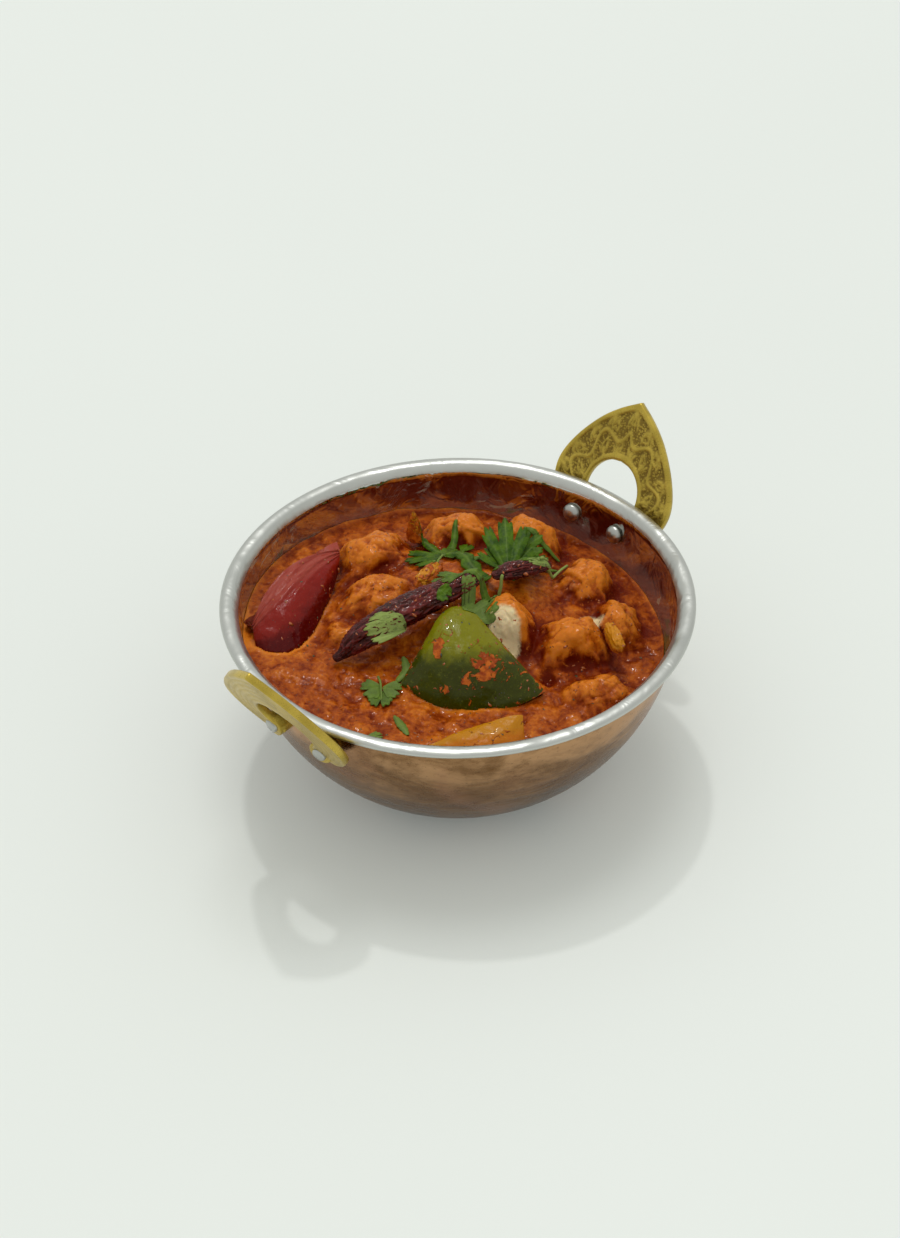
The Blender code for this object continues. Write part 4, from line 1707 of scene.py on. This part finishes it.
@dataclass
class DriedChilli:
    """A dried chilli: a limp tube that swells and tapers, drawn into wrinkles."""

    name: str
    node: str
    stations: tuple[tuple[float, float, float, float], ...]
    flatness: float = 0.86
    seed: int = 7

    def build(self, finish: bpy.types.Material) -> None:
        """Make the chilli.

        Args:
            finish: Its finish.
        """
        sides, steps = 96, 170
        line = np.array([p[:] for p in smooth_run([s[:3] for s in self.stations], steps)])
        swell = np.array([p.x for p in smooth_run([(s[3], 0, 0) for s in self.stations], steps)])
        bm = bmesh.new()
        bmesh.ops.create_cone(bm, cap_ends=False, segments=sides, radius1=1, radius2=1, depth=2)
        rings = [e for e in bm.edges if abs(e.verts[0].co.z - e.verts[1].co.z) > 1]
        bmesh.ops.subdivide_edges(bm, edges=rings, cuts=steps - 1, use_grid_fill=False)
        tube = positions(bm)
        step = np.clip(np.rint((tube[:, 2] + 1) / 2 * steps).astype(int), 0, steps)
        angle = np.arctan2(tube[:, 1], tube[:, 0])
        tangent = np.gradient(line, axis=0)
        tangent /= np.linalg.norm(tangent, axis=1)[:, None]
        side = np.cross(tangent, np.array([0.0, 0.0, 1.0]))
        side /= np.linalg.norm(side, axis=1)[:, None]
        lift = np.cross(side, tangent)
        run = np.concatenate([[0], np.cumsum(np.linalg.norm(np.diff(line, axis=0), axis=1))])
        grain = Grain(self.seed)
        around = np.stack([np.cos(angle) * 1.9, np.sin(angle) * 1.9, run[step] / 5.5], 1)
        twist = around + 0.35 * np.stack([grain.at(around * 1.4 + k) for k in (2, 9, 31)], 1)
        wrinkle = grain.ridges(twist * 1.55, 3)
        dent = grain.fractal(around * 0.55 + 6, 2)
        size = np.maximum(swell[step], 0.05)
        size = size * (0.93 + 0.16 * dent) + (wrinkle - 0.45) * np.minimum(1.15, size * 0.5)
        ends = np.minimum(step, steps - step) / 3.0
        size = np.maximum(size, 0.05) * np.clip(np.sqrt(np.clip(ends, 0.0, 1.0)), 0.02, 1)
        rows = line[step] + side[step] * (np.cos(angle) * size)[:, None] \
            + lift[step] * (np.sin(angle) * size * self.flatness)[:, None]
        place(bm, food_to_world(rows))
        paint(bm, "wrinkle", wrinkle)
        bmesh.ops.holes_fill(bm, edges=boundary(bm))
        bmesh.ops.recalc_face_normals(bm, faces=bm.faces[:])
        finish_piece(self.name, bm, finish, Slot.CHILLI, (self.node,))


class Top:
    """What lies uppermost at any place of the finished curry."""

    def __init__(self) -> None:
        """Gather every piece that stands for food."""
        points, faces = [], []
        for piece in bpy.data.objects:
            if piece.type != "MESH" or "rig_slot" not in piece:
                continue
            if piece["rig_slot"] in (Slot.STEEL.value, Slot.COPPER.value, Slot.BRASS.value):
                continue
            start = len(points)
            points += [v.co.copy() for v in piece.data.vertices]
            faces += [tuple(start + i for i in face.vertices) for face in piece.data.polygons
                      if len(face.vertices) < 9]
        self.tree = BVHTree.FromPolygons(points, faces)

    def at(self, right: float, away: float) -> tuple[float, Vector]:
        """Height and slope of the uppermost surface.

        Args:
            right: Food axis.
            away: Food axis.

        Returns:
            Height above the rim's middle in millimetres, and the normal in the part's frame.
        """
        spot = food_to_world(np.array([[right, away, 60.0]]))[0]
        hit, normal, _, _ = self.tree.ray_cast(Vector(spot), Vector((0, 0, -1)))
        if hit is None:
            return -18.0, Vector((0, 0, 1))
        return (hit.z - RIM_HEIGHT) / MM, normal


@dataclass(frozen=True)
class Leaf:
    """One coriander leaflet: where its stalk end is, and how it lies."""

    right: float
    away: float
    heading: float
    length: float
    width: float = 1.0
    lobes: int = 3
    lift: float = 0.5
    rise: float = 0.0
    curl: float = 0.0
    roll: float = 0.0
    pale: float = 0.0


@dataclass(frozen=True)
class Ribbon:
    """A narrow, curling leaf along a spine of right, away and height over the curry."""

    points: tuple[Point, ...]
    width: float
    teeth: float = 0.15
    pale: float = 0.0


@dataclass(frozen=True)
class Stem:
    """A length of coriander stem through points of right, away and height over the curry."""

    points: tuple[Point, ...]
    radius: float = 0.5
    pale: float = 0.5


LEAVES = (
    Leaf(-4.6, 28.5, 197, 13.0, 0.56, 3, 0.6, 0.4, 0.6, 0, 0.0),
    Leaf(-5.2, 28.0, 20, 6.5, 0.90, 2, 0.9, 0.4, 0.5, 0, 0.1),
    Leaf(16.4, 17.0, 92, 22.0, 0.40, 3, 1.4, 8.0, 1.2, 0, 0.0),
    Leaf(16.8, 18.0, 58, 17.0, 0.52, 3, 1.8, 4.0, 1.0, 0, 0.0),
    Leaf(15.0, 14.6, 36, 15.5, 0.62, 3, 1.6, 1.0, 0.8, -6, 0.08),
    Leaf(15.5, 19.0, 118, 12.0, 0.60, 3, 1.0, 2.5, 0.6, 0, 0.0),
    Leaf(20.0, 29.0, 30, 9.0, 0.75, 3, 3.2, 2.0, 0.4, 0, 0.0),
    Leaf(1.5, 31.0, 60, 5.5, 0.60, 2, 0.8, 0.8, 0.4, 0, 0.0),
    Leaf(30.0, 14.0, 178, 8.0, 0.34, 2, 0.8, 0.4, 0.4, 4, 0.9),
    Leaf(3.6, 5.0, 186, 12.0, 0.58, 3, 0.9, 0.6, 0.6, -6, 0.20),
    Leaf(1.6, -8.6, 46, 13.5, 0.62, 3, 1.2, 0.4, 0.5, 0, 0.38),
    Leaf(-16.0, -13.0, 188, 13.6, 0.36, 3, 1.6, 0.4, 0.5, -4, 1.0),
    Leaf(-23.8, -27.5, 200, 7.0, 0.80, 2, 0.7, 0.3, 0.4, 0, 0.25),
    Leaf(-23.6, -28.0, -22, 6.5, 0.70, 2, 0.8, 0.5, 0.4, 6, 0.30),
    Leaf(-23.8, -29.0, -95, 7.5, 0.60, 2, 0.6, 0.3, 0.4, 0, 0.20),
    Leaf(-6.0, -3.5, -35, 4.6, 0.9, 2, 0.5, 0.2, 0.3, 0, 0.0),
    Leaf(-29.0, -50.5, 10, 6.0, 0.42, 2, 0.5, 0.2, 0.4, 0, 0.40),
)
RIBBONS = (
    Ribbon(((-13.6, 43.5, 1.0), (-9.5, 37.0, 1.4), (-5.6, 31.5, 1.2), (-1.6, 33.6, 1.4),
            (-0.2, 42.5, 2.2)), 3.3, 0.16),
    Ribbon(((-3.6, 27.6, 1.4), (1.6, 25.4, 2.2), (4.4, 19.5, 2.4), (8.2, 13.5, 1.8),
            (13.0, 9.8, 0.9)), 5.2, 0.22),
    Ribbon(((2.5, 21.5, 1.2), (8.0, 25.0, 1.6), (13.0, 26.5, 1.6)), 2.0, 0.10, 0.15),
    Ribbon(((22.0, 38.0, 1.2), (27.0, 34.5, 1.6), (33.5, 33.0, 1.0)), 2.6, 0.12, 0.12),
    Ribbon(((26.5, 25.5, 1.0), (32.5, 27.0, 1.2)), 1.6, 0.10, 0.12),
    Ribbon(((2.0, 5.6, 1.2), (7.5, 4.0, 1.4), (12.0, 0.0, 0.8)), 3.6, 0.16, 0.15),
    Ribbon(((-17.2, -15.5, 1.8), (-16.2, -20.5, 1.6), (-19.4, -25.0, 0.6)), 3.0, 0.10, 0.35),
    Ribbon(((-19.8, -40.0, 0.6), (-17.6, -44.5, 0.8), (-15.6, -48.6, 0.5)), 2.6, 0.08, 0.35),
)
STEMS = (
    Stem(((-7.4, 16.5, 0.8), (-6.6, 21.5, 1.4), (-4.6, 26.5, 1.6)), 0.45, 0.6),
    Stem(((26.5, 14.0, 1.2), (31.0, 19.5, 2.4), (35.6, 25.0, 1.6)), 0.55, 0.9),
    Stem(((9.6, 3.2, 1.4), (12.0, 5.2, 1.6), (14.4, 7.3, 1.4)), 0.70, 1.0),
    Stem(((-25.0, -23.5, 1.2), (-24.2, -26.8, 1.4), (-23.8, -33.5, 1.0)), 0.40, 0.5),
    Stem(((18.0, 15.0, 1.0), (18.4, 19.0, 1.4), (17.6, 24.0, 2.2)), 0.50, 0.3),
)


@dataclass
class Coriander:
    """Leaves and stems scattered on the curry."""

    top: Top
    spokes: int = 72
    rings: int = 9
    thickness: float = 0.24
    meshes: list[bpy.types.Mesh] = field(default_factory=list)

    def outline(self, angle: np.ndarray, leaf: Leaf) -> np.ndarray:
        """Reach of a leaf by direction, as a share of its length.

        Args:
            angle: From the leaf's heading, in radians.
            leaf: The leaf.

        Returns:
            One reach an angle.
        """
        spread = math.radians(80) * leaf.width
        share = np.abs(angle) / spread
        reach = (1 - 0.30 * share**2) * (1 - 0.86 * smooth_step(0.86, 1.12, share))
        for i in range(1, leaf.lobes):
            notch = spread * (2 * i / leaf.lobes - 1)
            reach = reach * (1 - 0.33 * np.exp(-(((angle - notch) / (0.10 * spread)) ** 2)))
        teeth = np.abs(np.sin((angle / spread * leaf.lobes + leaf.lobes) * math.pi * 1.5))
        return reach * (0.88 + 0.12 * teeth)

    def ground(self, right: np.ndarray, away: np.ndarray) -> np.ndarray:
        """Height of the curry under a leaf, point by point."""
        return np.array([self.top.at(r, a)[0] for r, a in zip(right, away)])

    def grow(self, leaf: Leaf) -> None:
        """Make one leaflet.

        Args:
            leaf: The leaf.
        """
        bm = bmesh.new()
        bmesh.ops.create_grid(bm, x_segments=self.spokes, y_segments=self.rings, size=1)
        grid = positions(bm)
        angle = grid[:, 0] * math.radians(80) * leaf.width * 1.12
        share = (grid[:, 1] + 1) / 2
        reach = self.outline(angle, leaf) * leaf.length * (0.03 + 0.97 * share)
        x, y = reach * np.cos(angle), reach * np.sin(angle)
        heading = math.radians(leaf.heading)
        right = leaf.right + x * math.cos(heading) - y * math.sin(heading)
        away = leaf.away + x * math.sin(heading) + y * math.cos(heading)
        part = x / leaf.length
        bend = leaf.rise * part + leaf.curl * part * (1 - part) * 2
        bend += y * math.tan(math.radians(leaf.roll)) * 0.5
        crease = math.pi * leaf.lobes / (math.radians(80) * leaf.width)
        bend += 0.016 * leaf.length * share * np.cos(angle * crease)
        ground = self.ground(right, away)
        basis = np.stack([np.ones(len(right)), right, away], 1)
        level, slope_right, slope_away = np.linalg.lstsq(basis, ground, rcond=None)[0]
        steep = max(math.hypot(slope_right, slope_away) / 0.30, 1.0)
        middle = level + slope_right * right.mean() + slope_away * away.mean()
        fit = middle + (slope_right * (right - right.mean())
                        + slope_away * (away - away.mean())) / steep
        plane = fit + leaf.lift + bend
        height = np.maximum(plane, ground + 0.3)
        place(bm, food_to_world(np.stack([right, away, height], 1)))
        gap = np.abs(np.sin(angle * crease / 2)) * share * leaf.length
        paint(bm, "vein", np.exp(-((gap / 0.5) ** 2)))
        paint(bm, "pale", np.full(len(gap), leaf.pale))
        self.thicken(bm)

    def curl(self, ribbon: Ribbon) -> None:
        """Make one narrow leaf.

        Args:
            ribbon: The leaf.
        """
        bm = bmesh.new()
        along = 60
        bmesh.ops.create_grid(bm, x_segments=along, y_segments=8, size=1)
        grid = positions(bm)
        step = np.clip(np.rint((grid[:, 0] + 1) / 2 * along).astype(int), 0, along)
        share, side = step / along, grid[:, 1]
        line = np.array([p[:] for p in smooth_run(list(ribbon.points), along)])
        ground = self.ground(line[:, 0], line[:, 1])
        seat = np.convolve(np.pad(ground, 10, mode="edge"), np.ones(21) / 21, mode="valid")
        way = np.gradient(line[:, :2], axis=0)
        way /= np.linalg.norm(way, axis=1)[:, None]
        swell = np.sin(math.pi * (0.05 + 0.90 * share)) ** 0.6
        teeth = np.abs((share * 5.0 + 0.35 * np.sign(side)) % 1.0 - 0.5) * 2
        half = ribbon.width / 2 * swell * (1 - ribbon.teeth + 2 * ribbon.teeth * teeth)
        right = line[step, 0] - way[step, 1] * side * half
        away = line[step, 1] + way[step, 0] * side * half
        height = seat[step] + line[step, 2] - 0.10 * ribbon.width * side**2
        height = np.maximum(height, self.ground(right, away) + 0.3)
        place(bm, food_to_world(np.stack([right, away, height], 1)))
        paint(bm, "vein", np.exp(-((side * half / 0.3) ** 2)))
        paint(bm, "pale", np.full(len(half), ribbon.pale))
        self.thicken(bm)

    def thicken(self, bm: bmesh.types.BMesh) -> None:
        """Give a leaf its thickness, and put it aside.

        Args:
            bm: Its upper side, which is freed.
        """
        if sum(face.normal.z for face in bm.faces) < 0:
            bmesh.ops.reverse_faces(bm, faces=bm.faces[:])
        made = bmesh.ops.extrude_face_region(bm, geom=bm.faces[:], use_keep_orig=True)["geom"]
        lower = [g for g in made if isinstance(g, bmesh.types.BMVert)]
        bmesh.ops.translate(bm, verts=lower, vec=(0, 0, -self.thickness * MM))
        bmesh.ops.recalc_face_normals(bm, faces=bm.faces[:])
        self.keep(bm)

    def keep(self, bm: bmesh.types.BMesh) -> None:
        """Put a finished leaf or stem aside.

        Args:
            bm: Its mesh, which is freed.
        """
        mesh = bpy.data.meshes.new("sprig")
        bm.to_mesh(mesh)
        bm.free()
        self.meshes.append(mesh)

    def stalk(self, stem: Stem) -> None:
        """Make one stem.

        Args:
            stem: The stem.
        """
        steps, sides = 24, 10
        line = np.array([p[:] for p in smooth_run(list(stem.points), steps)])
        ground = np.array([self.top.at(p[0], p[1])[0] for p in line])
        seat = np.convolve(np.pad(ground, 4, mode="edge"), np.ones(9) / 9, mode="valid")
        line[:, 2] = np.maximum(seat + line[:, 2], ground + stem.radius * 0.7)
        bm = bmesh.new()
        bmesh.ops.create_cone(bm, cap_ends=True, segments=sides, radius1=1, radius2=1, depth=2)
        rings = [e for e in bm.edges if abs(e.verts[0].co.z - e.verts[1].co.z) > 1]
        bmesh.ops.subdivide_edges(bm, edges=rings, cuts=steps - 1, use_grid_fill=False)
        tube = positions(bm)
        step = np.clip(np.rint((tube[:, 2] + 1) / 2 * steps).astype(int), 0, steps)
        tangent = np.gradient(line, axis=0)
        tangent /= np.linalg.norm(tangent, axis=1)[:, None]
        side = np.cross(tangent, np.array([0.0, 0.0, 1.0]))
        side /= np.linalg.norm(side, axis=1)[:, None]
        lift = np.cross(side, tangent)
        size = stem.radius * (1 - 0.25 * step / steps)
        rows = line[step] + side[step] * (tube[:, 0] * size)[:, None] \
            + lift[step] * (tube[:, 1] * size)[:, None]
        place(bm, food_to_world(rows))
        paint(bm, "pale", np.full(len(size), stem.pale))
        paint(bm, "vein", np.zeros(len(size)))
        bmesh.ops.recalc_face_normals(bm, faces=bm.faces[:])
        self.keep(bm)

    def build(self) -> None:
        """Make every leaf and stem, joined by kind."""
        finish = LeafFinish().make()
        for name, plan, make in (("coriander_leaves", LEAVES, self.grow),
                                 ("coriander_curls", RIBBONS, self.curl),
                                 ("coriander_stems", STEMS, self.stalk)):
            for entry in plan:
                make(entry)
            bm = bmesh.new()
            for mesh in self.meshes:
                bm.from_mesh(mesh)
                bpy.data.meshes.remove(mesh)
            self.meshes.clear()
            finish_piece(name, bm, finish, Slot.CORIANDER)


@dataclass
class Crumbs:
    """Small crumbs of one kind, scattered on the curry."""

    name: str
    finish: CrumbFinish
    slot: Slot
    count: int
    size: tuple[float, float]
    seed: int
    top: Top
    stretch: float = 1.0
    sink: float = 0.3
    centre: tuple[float, float] = (0.0, 0.0)
    spread: float = 60.0

    def build(self) -> None:
        """Scatter the crumbs and join them."""
        rng = np.random.default_rng(self.seed)
        bm = bmesh.new()
        for _ in range(self.count):
            angle, reach = rng.uniform(0, math.tau), self.spread * math.sqrt(rng.uniform())
            right = self.centre[0] + reach * math.cos(angle)
            away = self.centre[1] + reach * math.sin(angle)
            if math.hypot(right, away) > 63.5:
                continue
            height, normal = self.top.at(right, away)
            size = rng.uniform(*self.size)
            made = bmesh.ops.create_icosphere(bm, subdivisions=1, radius=size * MM)["verts"]
            shape = Matrix.Diagonal((rng.uniform(0.7, 1.3) * self.stretch,
                                     rng.uniform(0.6, 1.0), rng.uniform(0.4, 0.7), 1.0))
            turn = normal.to_track_quat("Z", "Y").to_matrix().to_4x4()
            spin = Matrix.Rotation(rng.uniform(0, math.tau), 4, "Z")
            spot = food_to_world(np.array([[right, away, height - size * self.sink]]))[0]
            bmesh.ops.transform(bm, matrix=Matrix.Translation(spot) @ turn @ spin @ shape,
                                verts=made)
            for vert in made:
                vert.co += Vector(rng.normal(size=3)) * size * MM * 0.12
        finish_piece(self.name, bm, self.finish.make(), self.slot)


@dataclass
class Studio:
    """Pale floor, soft lights and the camera."""

    azimuth: float = math.radians(-48.0)
    elevation: float = math.radians(38.66)
    roll: float = math.radians(-0.627)
    distance: float = 0.9
    lens: float = 83.07
    shift: tuple[float, float] = (-0.00616, -0.01653)

    def build(self) -> None:
        """Set the floor, lights, world and camera."""
        self.floor()
        self.world()
        self.lamp("key_light", (0.02, 0.26, 1.0), 24.0, 0.50)
        self.lamp("top_light", (-0.10, 0.10, 1.0), 90.0, 0.15)
        self.lamp("spark_light", (-0.10, 0.45, 1.0), 2.6, 0.42)
        self.camera()

    def floor(self) -> None:
        """A wide pale sheet under the dish."""
        g = Graph("studio_floor")
        tint = g.noise(2.2, 2)
        material = g.close(Base_Color=g.mix(tint.between(0.2, 0.8), (0.655, 0.680, 0.645),
                                            (0.680, 0.705, 0.670)), Roughness=0.62,
                           Emission_Color=(0.92, 0.95, 0.90, 1.0), Emission_Strength=0.13)
        bm = bmesh.new()
        bmesh.ops.create_grid(bm, x_segments=8, y_segments=8, size=4.0)
        mesh = bpy.data.meshes.new("studio_floor")
        bm.to_mesh(mesh)
        bm.free()
        mesh.materials.append(material)
        sheet = bpy.data.objects.new("studio_floor", mesh)
        bpy.context.scene.collection.objects.link(sheet)

    def world(self) -> None:
        """Even light from all round."""
        world = bpy.data.worlds.new("studio")
        world.use_nodes = True
        light = world.node_tree.nodes["Background"]
        light.inputs["Color"].default_value = (0.97, 1.0, 0.97, 1.0)
        light.inputs["Strength"].default_value = 0.70
        bpy.context.scene.world = world

    def lamp(self, name: str, toward: Point, spread: float, power: float) -> None:
        """A distant light, so that the floor is evenly lit.

        Args:
            name: Its name.
            toward: Where it stands: right, away and up, as the camera sees them.
            spread: How wide it looks, in degrees.
            power: Its strength.
        """
        light = bpy.data.lights.new(name, "SUN")
        light.angle = math.radians(spread)
        light.energy = power
        lamp = bpy.data.objects.new(name, light)
        aim = Matrix.Rotation(FOOD_TURN, 3, "Z") @ Vector(toward)
        lamp.rotation_euler = aim.to_track_quat("Z", "Y").to_euler()
        lamp.location = aim
        bpy.context.scene.collection.objects.link(lamp)

    def camera(self) -> None:
        """The camera, long and level but for a slight roll."""
        cos_a, sin_a = math.cos(self.azimuth), math.sin(self.azimuth)
        cos_e, sin_e = math.cos(self.elevation), math.sin(self.elevation)
        right = Vector((cos_a, sin_a, 0))
        back = Vector((sin_a * cos_e, -cos_a * cos_e, sin_e))
        upward = back.cross(right)
        x = right * math.cos(self.roll) + upward * math.sin(self.roll)
        y = upward * math.cos(self.roll) - right * math.sin(self.roll)
        spot = Vector((0, 0, RIM_HEIGHT)) + back * self.distance
        data = bpy.data.cameras.new("camera")
        data.lens = self.lens
        data.sensor_width = 36.0
        data.sensor_fit = "AUTO"
        data.shift_x, data.shift_y = self.shift
        data.clip_start = 0.01
        camera = bpy.data.objects.new("camera", data)
        camera.matrix_world = Matrix((
            (x.x, y.x, back.x, spot.x), (x.y, y.y, back.y, spot.y),
            (x.z, y.z, back.z, spot.z), (0, 0, 0, 1)))
        bpy.context.scene.collection.objects.link(camera)
        bpy.context.scene.camera = camera
        bpy.context.scene.view_settings.view_transform = "Standard"


GREEN_PEPPER = PepperSlice(
    "green_pepper_slice", "green_pepper", Slot.GREEN,
    PepperFinish("green_pepper_skin", (0.190, 0.180, 0.004), (0.042, 0.048, 0.0008),
                 (0.26, 0.27, 0.02), 1.0, 0.20, 0.46),
    ((-18, -25.5, -13), (2, -35.5, -18), (27, -28, -15)),
    ((-7, -12, 0.5), (-1, -7, 2.5), (6, -9, 0.5)),
    (0, -5, 5), 4.0, 0.5, 1.3, 0.0, 3, ((0.76, 0.45, 0.20), (0.55, 0.32, 0.08), (0.2, 0.6, 0.12),
                                        (0.35, 0.2, 0.06)))
RED_PEPPER = PepperSlice(
    "red_pepper_slice", "red_pepper", Slot.RED,
    PepperFinish("red_pepper_skin", (0.230, 0.010, 0.005), (0.095, 0.0012, 0.0008),
                 (0.40, 0.085, 0.055), 0.4, 0.16, 0.60),
    ((-64, -9, -12.5), (-49.5, -8, -15.5), (-38, 25, -6.5)),
    ((-65, -2, -8), (-55, 17, -1), (-38, 29.5, -3)),
    (1, -3, 3), 3.2, 0.55, 1.0, 1.0, 4, ((0.95, 0.4, 0.08),))
YELLOW_SLICE = PepperSlice(
    "yellow_pepper_slice", "yellow_pepper_front", Slot.YELLOW,
    PepperFinish("yellow_pepper_skin", (0.50, 0.195, 0.005), (0.52, 0.150, 0.004),
                 (0.62, 0.30, 0.015), 0.6, 0.22),
    ((-12, -55, -16), (7, -58, -15), (20, -52, -16)),
    ((-9, -53, -14), (8, -46.5, -11.5), (19.5, -44, -10.5)),
    (0, 0, 1.5), 3.2, 0.6, 1.0, 0.0, 5)


def build_vegetables() -> None:
    """Make the peppers and the dried chillies."""
    for piece in (GREEN_PEPPER, RED_PEPPER, YELLOW_SLICE):
        piece.build()
    yellow = PepperFinish("yellow_pepper_cut", (0.56, 0.21, 0.007), (0.44, 0.115, 0.006),
                          (0.55, 0.27, 0.02), 1.2, 0.24).make()
    PepperCut("yellow_pepper_strip_cut", "yellow_pepper_strip", (49, -9, -9.0), (5, 12.5, 6),
              15, 0.15, 0.1).build(yellow)
    PepperCut("yellow_pepper_back_cut", "yellow_pepper_back", (-14, 39.5, -1.5), (7, 4, 12),
              -15, 0.75).build(yellow)
    PepperCut("yellow_pepper_middle_cut", "yellow_pepper_middle", (-9, 13, -0.8), (6, 13, 5),
              -35).build(yellow)
    skin = ChilliFinish().make()
    DriedChilli("long_dried_chilli", "chilli_long", (
        (-39, -17.5, -10, 1.0), (-36, -16, -8.6, 2.0), (-30, -13, -4.5, 4.6),
        (-18, -8, 0.6, 5.2), (-6, -2, 3.4, 4.6), (3, 3, 4.4, 3.4), (8, 6, 4.2, 1.0))).build(skin)
    DriedChilli("short_dried_chilli", "chilli_short", (
        (11, 8, 2.6, 0.9), (14, 9.5, 2.4, 2.6), (20, 12, 2.2, 3.4), (26, 14.5, 1.6, 2.8),
        (30, 16, 0.6, 0.8)), 0.8, 13).build(skin)


def build_crumbs(top: Top) -> None:
    """Scatter spice, seeds and herb crumbs.

    Args:
        top: What they lie on.
    """
    Crumbs("spice_crumbs", CrumbFinish("ground_spice", (0.05, 0.012, 0.004)), Slot.GRAVY,
           420, (0.14, 0.34), 21, top).build()
    Crumbs("herb_crumbs", CrumbFinish("chopped_herb", (0.030, 0.045, 0.004)), Slot.CORIANDER,
           110, (0.22, 0.5), 22, top, 1.6).build()
    Crumbs("tomato_crumbs", CrumbFinish("tomato_pulp", (0.50, 0.11, 0.010), 0.25), Slot.GRAVY,
           700, (0.25, 0.75), 23, top, 1.3, 0.45).build()


def main() -> None:
    """Build the dish piece by piece, then the studio round it."""
    logging.basicConfig(level=logging.INFO, format="%(name)s: %(message)s")
    bowl = Bowl()
    bowl.build()
    brass = BrassFinish().make()
    rivet = SteelFinish("rivet_steel", (0.46, 0.46, 0.43), 0.30).make()
    for side in Side:
        Handle(side, bowl).build(brass, rivet)
    surface = CurrySurface(bowl, ("green_pepper", "red_pepper", "yellow_pepper_front",
                                  "chilli_long", "chilli_short"))
    Curry(bowl, surface).build()
    build_vegetables()
    top = Top()
    Coriander(top).build()
    build_crumbs(top)
    Studio().build()


if __name__ == "__main__":
    main()
